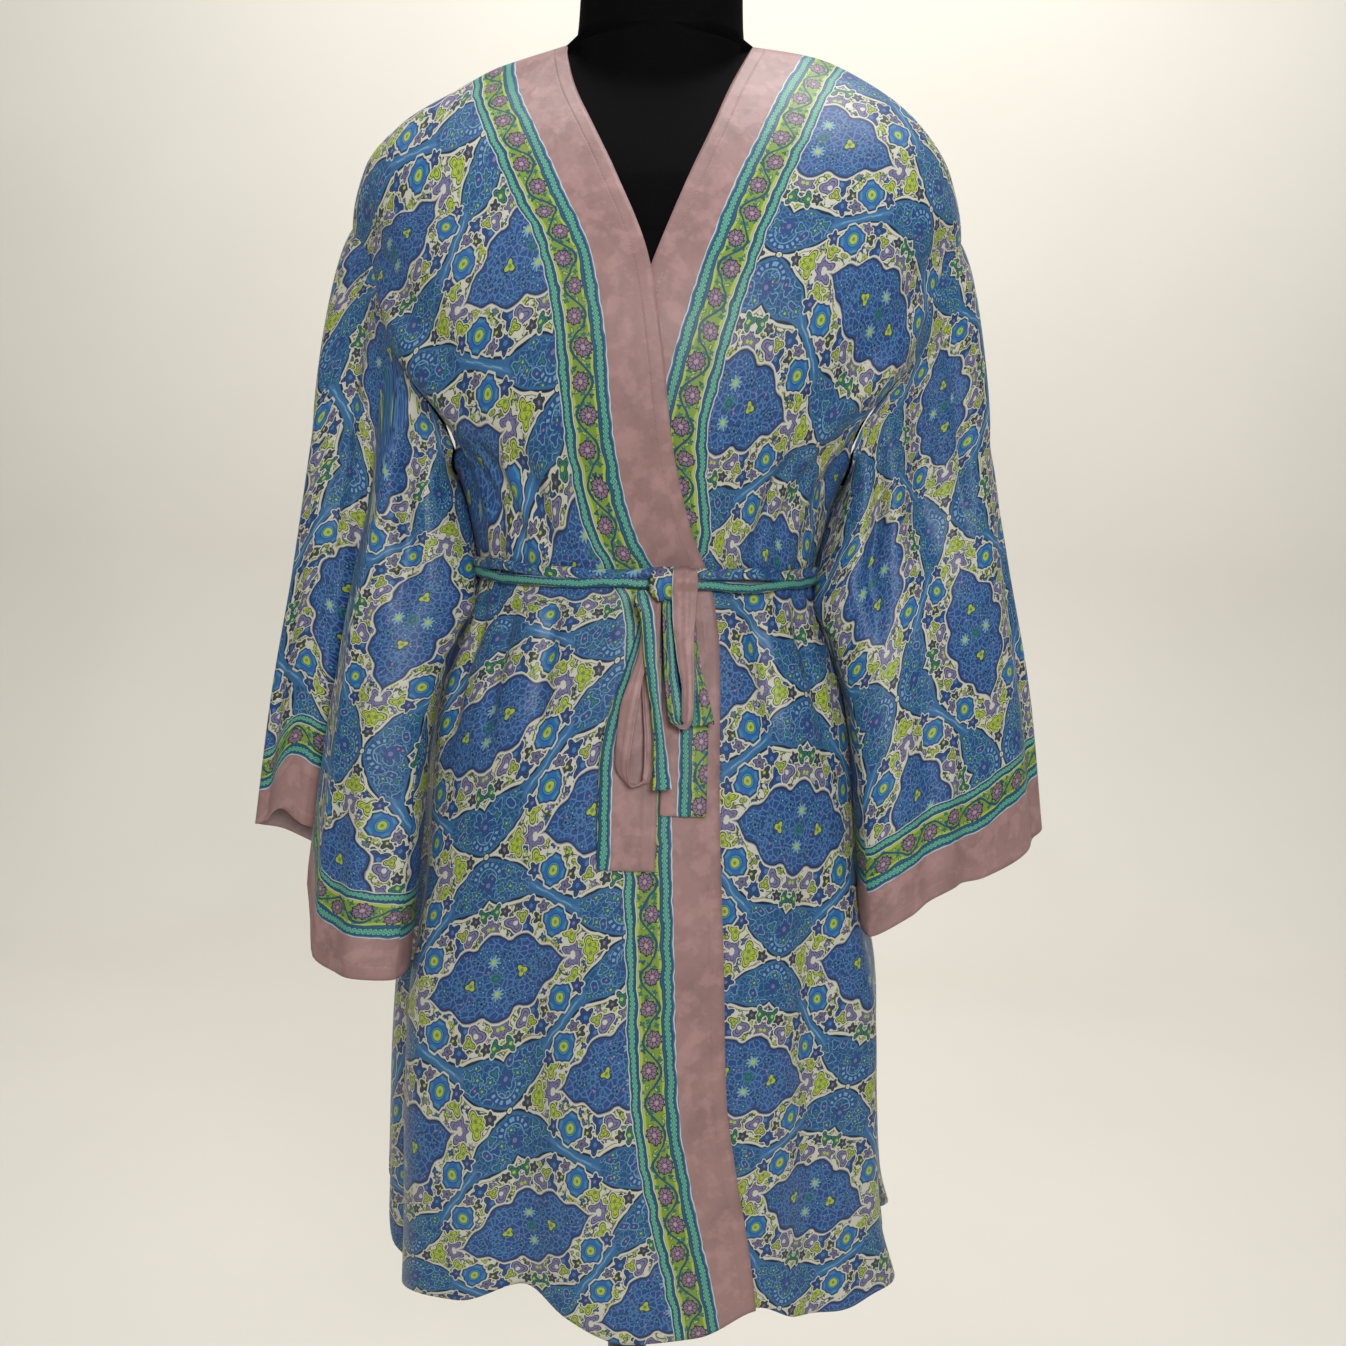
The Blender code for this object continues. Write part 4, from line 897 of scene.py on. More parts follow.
def make_bow(name, run, prints, node, turn_at, rows):
    """One bow or folded strap of the sash. prints are where its print starts and ends across it,
    before and after the share of its length, turn_at, where it turns and shows its other side."""
    way = np.linspace(0, 1, rows + 1)
    across, height = run.at("across", way), run.at("height", way)
    centre = np.stack([across, skin_y(across, height) - run.at("lift", way), height], axis=-1)
    turn = np.radians(run.at("turn", way))
    flat = np.stack([np.cos(turn), -np.sin(turn), np.zeros_like(turn)], axis=-1)
    other_side = ease((way - turn_at) / 0.03 + 0.5)[:, None]
    left, right = (before + (after - before) * other_side for before, after in zip(prints[:2], prints[2:]))
    piece = strip(name, centre, flat, run.at("width", way), left, right, bow=0.0004)
    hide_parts(node)
    return piece


def make_knot():
    """The knot: a small tight cushion of folded silk."""
    maker = bmesh.new()
    maps = [maker.loops.layers.uv.new(layer) for layer in ("print", "repeat")]
    hem_map = maker.verts.layers.float.new("hem")
    bmesh.ops.create_uvsphere(maker, u_segments=48, v_segments=32, radius=0.5)
    clear = float(skin_y(np.array(KNOT_ACROSS), np.array(WAIST)))
    middle = Vector((KNOT_ACROSS, clear - KNOT_LIFT, WAIST - 0.002))
    for vertex in maker.verts:
        spot = vertex.co.copy()
        spot *= sum(abs(2 * part) ** KNOT_SQUARE for part in spot) ** (-1 / KNOT_SQUARE)
        ridge = 1 + 0.05 * math.sin(14 * spot.x + 5 * spot.z) * (1 - abs(2 * spot.x) ** 2)
        across, deep, tall = KNOT_SIZE
        vertex.co = middle + Vector((spot.x * across, spot.y * deep * ridge, spot.z * tall * ridge))
        vertex[hem_map] = 0.02
    for face in maker.faces:
        for loop in face.loops:
            place = loop.vert.co - middle
            loop[maps[0]].uv = (0.045 - place.x * 0.5, place.z)
            loop[maps[1]].uv = (0.45 + place.x * 11, 0.35 + place.z * 11)
    piece = cloth_object("sash_knot_folds", maker, "sash", walls=False)
    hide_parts("sash_knot")
    return piece


def form_rings():
    """Level rings of points of the dress form from its foot to the top of its neck."""
    turn = np.linspace(0, 2 * np.pi, FORM_SIDES, endpoint=False)
    across, ahead = np.sin(turn), np.cos(turn)

    def oval(height, side, front, back, power):
        scale = (np.abs(across) ** power + np.abs(ahead) ** power) ** (-1 / power)
        depth = np.where(ahead > 0, front, back)
        return np.stack([side * across * scale, -depth * ahead * scale, np.full_like(turn, height)], axis=-1)

    columns = ("side", "front", "back", "power")
    rings = []
    for height in np.arange(FORM.rows[0, 0], FORM.rows[-1, 0] + 0.001, 0.010):
        rings.append(oval(height, *(FORM.at(column, height) for column in columns)))
    side, front, back = (NECK.at(column, NECK_FOOT) for column in ("side", "front", "back"))
    for step in np.arange(4.5, 0.04, -0.15):
        steps = np.full_like(turn, max(step, 0.05))
        angles = np.degrees(turn)
        spot = section_point(angles, steps) - body_normal(angles, steps) * SHOULDER_CLEAR
        place = np.arctan2(spot[:, 0], -spot[:, 1])
        depth = np.where(spot[:, 1] < 0, front, back)
        neck = 1 / np.hypot(np.sin(place) / side, np.cos(place) / depth)
        share = np.maximum(1.0, neck / np.hypot(spot[:, 0], spot[:, 1]))
        rings.append(spot * np.stack([share, share, np.ones_like(share)], axis=-1))
    for height in np.arange(NECK_FOOT, NECK.rows[-1, 0] + 0.0005, 0.003):
        rings.append(oval(height, *(NECK.at(column, height) for column in columns)))
    height, *half_widths, power = NECK.rows[-1]
    for rise, share in CAP_RINGS:
        rings.append(oval(height + CAP_RISE * rise, *(half * share for half in half_widths), power))
    return np.array(rings)


def make_form():
    """The dress form's torso, shoulders and neck in one smooth body."""
    rings = form_rings()
    count, sides = rings.shape[:2]
    points = np.concatenate([rings, rings[:, :1]], axis=1)
    maker = bmesh.new()
    corners = bmesh.ops.create_grid(maker, x_segments=sides, y_segments=count - 1, size=1.0)["verts"]
    for vertex, point in zip(corners, points.reshape(-1, 3)):
        vertex.co = point
    bmesh.ops.remove_doubles(maker, verts=maker.verts, dist=0.000001)
    bmesh.ops.holes_fill(maker, edges=[edge for edge in maker.edges if edge.is_boundary])
    bmesh.ops.recalc_face_normals(maker, faces=maker.faces)
    piece = new_piece("form_body", maker, form_jersey())
    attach(piece, "root")
    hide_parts("form_torso", "form_neck_cap")
    return piece


def shade(red, green, blue):
    """A colour from the numbers of a paint chart, 0 to 255."""
    parts = []
    for part in (red, green, blue):
        part /= 255
        parts.append(part / 12.92 if part <= 0.04045 else ((part + 0.055) / 1.055) ** 2.4)
    return (*parts, 1.0)


def add_node(tree, kind, **settings):
    """A shader node of a kind, with its settings."""
    node = tree.nodes.new("ShaderNode" + kind)
    for name, value in settings.items():
        setattr(node, name, value)
    return node


def feed(tree, socket, value):
    """Give a socket a Number or a plain value."""
    if isinstance(value, Number):
        tree.links.new(value.socket, socket)
    else:
        socket.default_value = value


class Number:
    """A value that a node tree works out. Sums and products of Numbers add nodes to the tree."""

    def __init__(self, tree, socket):
        self.tree, self.socket = tree, socket

    def math(self, operation, *others):
        """The outcome of a Math node on this value and others."""
        node = add_node(self.tree, "Math", operation=operation)
        for socket, value in zip(node.inputs, (self, *others)):
            feed(self.tree, socket, value)
        return Number(self.tree, node.outputs[0])

    def __add__(self, other):
        return self.math("ADD", other)

    def __sub__(self, other):
        return self.math("SUBTRACT", other)

    def __rsub__(self, other):
        return self.math("MULTIPLY_ADD", -1.0, other)

    def __mul__(self, other):
        return self.math("MULTIPLY", other)

    def __truediv__(self, other):
        return self.math("DIVIDE", other)

    def __abs__(self):
        return self.math("ABSOLUTE")

    def __and__(self, other):
        """Both of two masks."""
        return self.math("MULTIPLY", other)

    def below(self, edge, soft=0.02):
        """A mask: 1 where the value is under an edge, with a soft change."""
        value = self - edge if isinstance(edge, Number) else self
        middle = 0.0 if isinstance(edge, Number) else edge
        node = add_node(self.tree, "MapRange", interpolation_type="SMOOTHSTEP")
        names = ("Value", "From Min", "From Max", "To Min", "To Max")
        for name, number in zip(names, (value, middle - soft, middle + soft, 1.0, 0.0)):
            feed(self.tree, node.inputs[name], number)
        return Number(self.tree, node.outputs["Result"])

    def above(self, edge, soft=0.02):
        """A mask: 1 where the value is over an edge."""
        return 1.0 - self.below(edge, soft)

    def near(self, middle, half, soft=0.02):
        """A mask: 1 within half of a middle."""
        return abs(self - middle).below(half, soft)

    def curve(self, points, reach, height):
        """The value read off a smooth curve through points, from 0 to a reach."""
        node = add_node(self.tree, "FloatCurve")
        line = node.mapping.curves[0].points
        line[0].location = (points[0][0] / reach, points[0][1] / height)
        line[-1].location = (points[-1][0] / reach, points[-1][1] / height)
        for along_it, value in points[1:-1]:
            line.new(along_it / reach, value / height)
        node.mapping.update()
        feed(self.tree, node.inputs["Value"], self / reach)
        return Number(self.tree, node.outputs["Value"]) * height

    __radd__, __rmul__ = __add__, __mul__


def sine(value, times=1.0, shift=0.0):
    """The sine of a value, multiplied and shifted first."""
    return value.math("MULTIPLY_ADD", times, shift).math("SINE")


def far_from(x, y, across=0.0, up=0.0, narrow=1.0):
    """Distance from a point. narrow stretches it up and down."""
    dx = x - across if across else x
    dy = y - up if up else y
    if narrow != 1.0:
        dy = dy * narrow
    return (dx * dx + dy * dy).math("SQRT")


def petals_wave(dx, dy, petals, shift):
    """A wave round a flower, with a crest at each petal."""
    return dy.math("ARCTAN2", dx).math("MULTIPLY_ADD", float(petals), shift).math("COSINE")


def flower(x, y, across, up, size, petals, depth):
    """A mask in the shape of a flower."""
    dx, dy = x - across, y - up
    reach = (dx * dx + dy * dy).math("SQRT")
    return (reach - petals_wave(dx, dy, petals, up * 3.0) * (size * depth)).below(size, 0.03)


def mixed(tree, under, over, mask):
    """One colour over another where a mask is 1."""
    node = add_node(tree, "Mix", data_type="RGBA")
    feed(tree, node.inputs["Factor"], mask)
    feed(tree, node.inputs[6], under)
    feed(tree, node.inputs[7], over)
    return Number(tree, node.outputs[2])


class Painting:
    """A colour that gets one layer after another. The given colours go by their names."""

    def __init__(self, tree, given, ground):
        self.tree, self.given = tree, given
        self.colour = given[ground]

    def add(self, colour, mask):
        """Put a colour on where a mask is 1."""
        self.colour = mixed(self.tree, self.colour, self.given.get(colour, colour), mask)


def flat_place(tree, x, y):
    """A vector from a place's two numbers."""
    joined = add_node(tree, "CombineXYZ")
    feed(tree, joined.inputs["X"], x)
    feed(tree, joined.inputs["Y"], y)
    return Number(tree, joined.outputs[0])


def parts_of(tree, vector):
    """The three numbers of a vector."""
    split = add_node(tree, "SeparateXYZ")
    tree.links.new(vector.socket, split.inputs[0])
    return [Number(tree, socket) for socket in split.outputs]


def cells(tree, x, y, per_cm, feature="F1"):
    """A texture node of scattered cells."""
    node = add_node(tree, "TexVoronoi", voronoi_dimensions="2D", feature=feature)
    node.inputs["Scale"].default_value = per_cm
    tree.links.new(flat_place(tree, x, y).socket, node.inputs["Vector"])
    return node


def cell_edges(tree, x, y, per_cm):
    """A net of crooked lines: the distance to the nearest one."""
    return Number(tree, cells(tree, x, y, per_cm, "DISTANCE_TO_EDGE").outputs["Distance"])


def scattered(tree, x, y, per_cm):
    """Scattered cells, each turned its own way: the distance from a cell's middle, the angle round it
    and a number of its own from 0 to 1."""
    node = cells(tree, x, y, per_cm)
    parts = add_node(tree, "SeparateColor")
    tree.links.new(node.outputs["Color"], parts.inputs[0])
    middle_x, middle_y, _ = parts_of(tree, Number(tree, node.outputs["Position"]))
    turn = Number(tree, parts.outputs[1]) * (2 * math.pi)
    angle = (y - middle_y).math("ARCTAN2", x - middle_x) + turn
    return Number(tree, node.outputs["Distance"]), angle, Number(tree, parts.outputs[0])


def clouds(tree, vector, scale, detail=2.0, rough=0.5, dimensions="3D"):
    """A soft noise from 0 to 1."""
    node = add_node(tree, "TexNoise", noise_dimensions=dimensions)
    for name, value in (("Scale", scale), ("Detail", detail), ("Roughness", rough)):
        node.inputs[name].default_value = value
    tree.links.new(vector.socket, node.inputs["Vector"])
    return Number(tree, node.outputs["Fac"])


def new_group(name, inputs, outputs):
    """An empty node group: inputs as (name, kind, default), outputs as (name, kind)."""
    tree = bpy.data.node_groups.new(name, "ShaderNodeTree")
    for label, kind, default in inputs:
        socket = tree.interface.new_socket(label, in_out="INPUT", socket_type=kind)
        if default is not None:
            socket.default_value = default
    for label, kind in outputs:
        tree.interface.new_socket(label, in_out="OUTPUT", socket_type=kind)
    into, out_of = tree.nodes.new("NodeGroupInput"), tree.nodes.new("NodeGroupOutput")
    given = {label: Number(tree, into.outputs[label]) for label, kind, default in inputs}
    return tree, given, out_of


HEM_FOLD = 0.0095       # from a hem's edge in to its stitching
STITCH = 0.0028         # length of a stitch
JERSEY_RIB = 0.0011
PRINT_COLOURS = ("Mauve", "Royal", "Ribbon", "Cream", "Lime", "Teal")
LEAF_BROWN, LILAC, PINK = shade(58, 64, 62), shade(108, 104, 140), shade(160, 108, 128)
SKY, PALE_SKY, NAVY = shade(62, 108, 152), shade(106, 150, 174), shade(12, 24, 48)
ROPE_GREEN, CYAN, FAN = shade(96, 166, 130), shade(54, 128, 146), shade(24, 70, 108)
LEAF_GREEN, GREY_LINE, OLIVE = shade(36, 108, 88), shade(120, 122, 130), shade(104, 122, 62)
BORDER_WIDTH = 0.0321
ACROSS, DOWN = HALF_ACROSS * 100, HALF_DOWN * 100   # cm of half a repeat

# The cream ground's edge: cm from the middle of a repeat along its length, and half its width there
CREAM_EDGE = (
    (0.0, 5.70), (0.45, 5.32), (1.2, 5.02), (2.2, 5.04), (3.0, 5.00), (3.8, 4.62), (4.4, 4.20), (4.85, 3.78),
    (5.4, 3.32), (6.2, 2.50), (6.8, 1.76), (7.5, 1.12), (8.4, 0.58), (9.2, 0.16), (9.7, 0.0),
)
# The medallion's edge in the same way
HEART_EDGE = (
    (0.0, 3.08), (0.45, 2.95), (0.9, 2.60), (1.3, 2.32), (1.8, 2.46), (2.4, 2.44), (2.9, 2.10), (3.3, 1.56),
    (3.65, 1.24), (4.15, 1.14), (4.6, 0.72), (5.05, 0.16), (5.25, -0.12), (9.7, -0.6),
)

# Flowers and leaves of half a repeat: across, up, size, petals, how deep they are cut, colour and heart
POSIES = (
    (3.10, 4.20, 0.50, 5, 0.32, "Royal", SKY),
    (2.45, 2.98, 0.54, 3, 0.42, "Royal", SKY),
    (1.75, 3.45, 0.56, 3, 0.28, LILAC, "Cream"),
    (2.30, 3.78, 0.30, 3, 0.42, "Lime", OLIVE),
    (0.15, 3.55, 0.44, 5, 0.30, LILAC, "Lime"),
    (0.55, 4.62, 0.40, 4, 0.34, LEAF_GREEN, "Lime"),
    (1.15, 4.45, 0.28, 5, 0.30, LEAF_BROWN, LILAC),
    (5.95, 0.10, 0.62, 5, 0.28, LILAC, "Cream"),
    (7.25, 0.26, 0.46, 3, 0.44, "Lime", OLIVE),
    (8.30, 0.05, 0.28, 5, 0.30, LEAF_BROWN, LILAC),
    (5.95, 1.45, 0.44, 3, 0.44, "Lime", OLIVE),
    (6.10, 2.15, 0.38, 5, 0.30, "Royal", LILAC),
    (3.55, 3.30, 0.32, 4, 0.36, LEAF_BROWN, "Lime"),
    (4.05, 3.85, 0.32, 5, 0.32, LILAC, LEAF_BROWN),
)


def lobed(distance, angle, own, depth):
    """The distance line of a cut leaf or flower: 2 to 5 lobes by its own number."""
    lobes = (own * 4.0).math("FLOOR") + 2.0
    return distance - (angle * lobes).math("COSINE") * depth


def border_print(tree, x, y, given):
    """The scrolling-vine border: x cm in from the plain band and y cm along it."""
    dark_line, dull_lime = shade(20, 66, 96), shade(112, 138, 46)
    painting = Painting(tree, given, "Ribbon")
    paint = painting.add
    for middle, half in ((0.475, 0.215), (2.85, 0.185)):
        paint(dark_line, x.near(middle, half + 0.09))
        paint(shade(26, 90, 104), x.near(middle, half))
        links = abs(sine(y, math.pi / 0.32)) * (half * 0.72)
        chain = abs(abs(x - middle) - links).below(0.045, 0.03)
        paint(ROPE_GREEN, chain & x.near(middle, half - 0.02))
        paint(ROPE_GREEN, x.near(middle, half * 0.22) & abs(sine(y, math.pi / 0.32)).above(0.75, 0.15))
    paint("Cream", x.near(0.035, 0.04))
    paint("Cream", x.near(3.17, 0.03))
    paint("Cream", x.near(2.44, 0.035))
    paint("Lime", x.near(1.65, 0.74))
    paint(dull_lime, x.near(1.65, 0.58, 0.06))
    in_zone = x.near(1.65, 0.70)
    vine = sine(y, 2 * math.pi / 4.2)
    leaf, angle, own = scattered(tree, x, y, 2.1)
    leaf = lobed(leaf, angle, own, 0.10)
    paint("Teal", leaf.below(0.31, 0.04) & in_zone)
    paint(LEAF_GREEN, leaf.below(0.20, 0.05) & in_zone & own.above(0.5))
    paint("Lime", leaf.below(0.19, 0.05) & in_zone & own.below(0.3))
    turn = y.math("WRAP", 2.1, 0.0) - 1.05
    way = sine((y / 2.1).math("FLOOR"), math.pi, math.pi / 2)
    side = x - (1.63 - way * 0.17)
    angle = turn.math("ARCTAN2", side)
    reach = far_from(side, turn, narrow=0.86) - (angle * 9.0).math("COSINE") * 0.05
    paint(NAVY, reach.below(0.53))
    paint(shade(128, 102, 122), reach.below(0.46) & abs(sine(angle, 4.5)).above(0.26, 0.12))
    paint(NAVY, reach.near(0.20, 0.03))
    paint(shade(160, 140, 146), reach.below(0.12))
    paint(dark_line, abs(x - (vine * 0.56 + 1.63)).below(0.085) & x.near(1.65, 0.78))
    paint(dark_line, x.near(0.86, 0.05) + x.near(2.53, 0.05))
    return painting.colour


def field_print(tree, across, down, given):
    """The ogee lattice: medallions on cream flowered grounds, between ribbons that cross in fans."""
    u, v = across.math("WRAP", 1.0, -1.0), down.math("WRAP", 1.0, -1.0)
    between = (abs(u) + abs(v)).above(1.0, 0.0005)
    signed_a = (u - between * u.math("SIGN")) * ACROSS
    signed_b = (v - between * v.math("SIGN")) * DOWN
    a, b = abs(signed_a), abs(signed_b)
    x, y = across * ACROSS, down * DOWN

    past_edge = b - a.curve(CREAM_EDGE, ACROSS, 6.0)
    other_edge = (DOWN - b) - (ACROSS - a).curve(CREAM_EDGE, ACROSS, 6.0)
    painting = Painting(tree, given, "Ribbon")
    paint = painting.add
    narrow = (past_edge + other_edge).below(1.75, 0.15)
    core = past_edge - other_edge
    dashes = sine(a, 5.2).above(-0.1, 0.3)
    paint(SKY, abs(core).below(0.30, 0.06) & narrow)
    paint(PALE_SKY, abs(core).below(0.15, 0.05) & narrow & dashes)
    far_side = a.above(ACROSS / 2, 0.001)
    fan_a = a + far_side * (ACROSS - a * 2.0)
    fan_b = (DOWN - b) + far_side * (b * 2.0 - DOWN)
    in_fan = 1.0 - narrow
    paint(FAN, in_fan)
    net = cell_edges(tree, x + 3.3, y, 2.5)
    paint(SKY, net.below(0.075, 0.05) & in_fan)
    curls, angle, own = scattered(tree, x + 1.3, y, 1.15)
    bloom = lobed(curls, angle, own, 0.10)
    paint(PALE_SKY, in_fan & bloom.near(0.36, 0.035, 0.03))
    paint("Royal", in_fan & bloom.below(0.31, 0.04))
    paint(LEAF_GREEN, in_fan & bloom.below(0.17, 0.05) & own.above(0.40))
    paint("Lime", in_fan & curls.below(0.08, 0.04) & own.above(0.62))
    paint(PINK, in_fan & curls.below(0.09, 0.04) & own.below(0.20))
    paint("Royal", flower(fan_a, fan_b, 0.0, 1.95, 0.46, 5, 0.30))
    paint(LILAC, far_from(fan_a, fan_b, 0.0, 1.95).below(0.16))
    apex = far_from(fan_a, fan_b, 0.0, 1.55)
    low_side = fan_b.below(1.55, 0.2)
    paint("Royal", apex.near(0.98, 0.22) & low_side)
    turn = (fan_b - 1.55).math("ARCTAN2", fan_a)
    paint(PALE_SKY, apex.near(0.98, 0.12) & low_side & sine(turn, 16.0).above(0.1, 0.3))
    paint(PALE_SKY, apex.near(0.70, 0.03) & low_side)
    outside = past_edge.math("MINIMUM", other_edge)
    paint("Ribbon", outside.below(0.27, 0.04))
    paint(NAVY, outside.below(0.09, 0.035))

    scallop = abs(sine(a, 1.9, 0.7)) * 0.13
    on_cream = (past_edge + scallop).below(0.03, 0.03)
    paint("Cream", on_cream)
    inside = (past_edge + scallop).below(-0.20, 0.04)
    paint(LEAF_BROWN, (past_edge + scallop).near(-0.19, 0.022))
    stems = clouds(tree, flat_place(tree, x, y), 1.05, detail=0.0, dimensions="2D")
    paint(OLIVE, stems.near(0.5, 0.040, 0.012) & inside)
    paint(LEAF_BROWN, stems.near(0.5, 0.022, 0.010) & inside)
    small, angle, own = scattered(tree, x, y + 0.7, 2.9)
    bud = lobed(small, angle, own, 0.14)
    by_stem = stems.near(0.5, 0.15, 0.03) & inside
    paint(LEAF_BROWN, bud.below(0.31, 0.05) & by_stem)
    paint(LEAF_GREEN, bud.below(0.21, 0.05) & by_stem & own.above(0.72))
    paint("Lime", bud.below(0.22, 0.05) & by_stem & own.below(0.30))
    leaf, angle, own = scattered(tree, x * 1.1 + y * 0.3, y - x * 0.25, 1.5)
    shape = lobed(leaf, angle, own, 0.12)
    seen = inside & own.below(0.90)
    paint(NAVY, shape.below(0.37, 0.03) & seen)
    kinds = Painting(tree, given, "Lime")
    dye = kinds.add
    dye(OLIVE, own.below(0.16) & sine(angle, 2.0).above(0.0, 0.3))
    dye(LEAF_BROWN, own.near(0.22, 0.04))
    dye("Royal", own.near(0.62, 0.12))
    dye(LILAC, own.above(0.74))
    paint(kinds.colour, shape.below(0.29, 0.03) & seen)
    paint("Cream", leaf.below(0.07, 0.03) & seen & own.above(0.74))
    paint(SKY, leaf.below(0.10, 0.03) & seen & own.near(0.62, 0.12))
    paint(OLIVE, leaf.below(0.12, 0.05) & seen & own.below(0.48))

    for across_it, up, size, petals, depth, colour, heart in POSIES:
        dx, dy = a - across_it, b - up
        wave = petals_wave(dx, dy, petals, up * 3.0) * (size * depth)
        reach = (dx * dx + dy * dy).math("SQRT")
        line = reach - wave
        paint("Cream", line.below(size + 0.17))
        paint(NAVY, line.below(size + 0.075))
        paint(colour, line.below(size))
        paint(NAVY, line.near(size * 0.60, 0.028))
        paint(heart, reach.below(size * 0.30))

    rose_a, rose_b = a - 4.78, b - 2.62
    tilt_a, tilt_b = rose_a + rose_b * 0.25, rose_b - rose_a * 0.25
    square_a, square_b = tilt_a * tilt_a, tilt_b * tilt_b * 0.80
    turn = tilt_b.math("ARCTAN2", tilt_a)
    fourth = square_a * square_a + square_b * square_b
    square = fourth.math("SQRT").math("SQRT") + abs(sine(turn, 6.0)) * 0.07
    paint("Cream", square.below(1.02, 0.03))
    paint(NAVY, square.below(0.91, 0.03))
    paint(shade(34, 92, 158), square.below(0.83, 0.03))
    paint(CYAN, (square_a * square_b).above(0.050, 0.02) & square.below(0.76))
    middle = far_from(rose_a, rose_b, narrow=0.9)
    paint("Royal", middle.below(0.50))
    paint(CYAN, middle.near(0.39, 0.05))
    paint("Lime", middle.below(0.30))
    paint(OLIVE, middle.below(0.11))

    heart_line = b - a.curve(HEART_EDGE, ACROSS, 3.2)
    paint("Cream", heart_line.below(0.24, 0.03))
    paint(GREY_LINE, heart_line.below(0.10, 0.03))
    paint(NAVY, heart_line.below(0.03, 0.03))
    paint("Royal", heart_line.below(-0.07, 0.03))
    in_heart = heart_line.below(-0.22, 0.03)
    net = cell_edges(tree, x, y, 2.1)
    paint(shade(74, 112, 158), net.below(0.085, 0.055) & in_heart)
    bloom, angle, own = scattered(tree, x + 1.7, y, 1.35)
    line = lobed(bloom, angle, own, 0.11)
    paint(SKY, line.near(0.33, 0.05, 0.03) & in_heart & own.above(0.15))
    paint(FAN, line.below(0.26, 0.05) & in_heart & own.above(0.60))
    paint(PINK, bloom.below(0.09, 0.04) & in_heart & own.below(0.22))
    paint(PALE_SKY, bloom.below(0.09, 0.04) & in_heart & own.above(0.55))
    for across_it, up, size, petals, colour, heart in (
        (2.75, 0.30, 0.36, 6, SKY, "Royal"),
        (1.15, 1.45, 0.24, 5, SKY, NAVY),
        (0.0, 1.15, 0.40, 9, PALE_SKY, "Lime"),
        (1.85, 0.02, 0.30, 3, "Lime", OLIVE),
        (3.75, 0.0, 0.22, 5, SKY, NAVY),
    ):
        paint(NAVY, flower(a, b, across_it, up, size + 0.07, petals, 0.34))
        paint(colour, flower(a, b, across_it, up, size, petals, 0.34))
        paint(heart, far_from(a, b, across_it, up).below(size * 0.42))
    paint(LEAF_GREEN, flower(signed_a, signed_b, 0.0, 0.0, 0.38, 8, 0.24))
    paint("Royal", far_from(a, b).near(0.20, 0.05))
    paint("Cream", far_from(fan_a, fan_b).below(0.22))
    paint(NAVY, far_from(fan_a, fan_b).near(0.23, 0.04))
    paint("Lime", far_from(fan_a, fan_b).below(0.08))
    return painting.colour


def robe_print():
    """The node group that draws the robe's print from its place on the cloth."""
    if "Robe print" in bpy.data.node_groups:
        return bpy.data.node_groups["Robe print"]
    inputs = [(label, "NodeSocketVector", None) for label in ("Place", "Repeat")]
    inputs += [("Paler", "NodeSocketFloat", 0.0)]
    inputs += [(label, "NodeSocketColor", (0.5, 0.5, 0.5, 1.0)) for label in PRINT_COLOURS]
    tree, given, out_of = new_group("Robe print", inputs, [("Color", "NodeSocketColor")])
    place = given["Place"]
    from_band, along_band, _ = parts_of(tree, place)
    wobble = clouds(tree, place, 75.0, detail=1.0, dimensions="2D")
    x = from_band * 100.0 + (wobble - 0.5) * 0.30
    y = along_band * 100.0 - (wobble - 0.5) * 0.24
    across, down, _ = parts_of(tree, given["Repeat"])
    sway = (wobble - 0.5) * 0.026
    field = field_print(tree, across + sway, down - sway, given)
    border = border_print(tree, x, y, given)
    printed = mixed(tree, field, border, x.below(BORDER_WIDTH * 100, 0.015))
    cloudy = clouds(tree, place, 28.0, detail=4.0, rough=0.6, dimensions="2D")
    fibre = clouds(tree, place, 900.0, detail=1.0, dimensions="2D")
    streaks = clouds(tree, place, 60.0, detail=3.0, rough=0.6, dimensions="2D")
    dull = mixed(tree, given["Mauve"], shade(118, 88, 84), (cloudy - 0.44) * 1.9)
    plain = mixed(tree, dull, shade(186, 146, 142), streaks.above(0.56, 0.10) * 0.30)
    whole = mixed(tree, printed, plain, from_band.below(0.0, 0.0002))
    washing = (fibre - 0.40) * 0.16 + (cloudy - 0.5) * 0.10
    washed = mixed(tree, whole, shade(150, 152, 154), washing)
    pale = mixed(tree, washed, shade(172, 174, 178), given["Paler"])
    tree.links.new(pale.socket, out_of.inputs["Color"])
    return tree


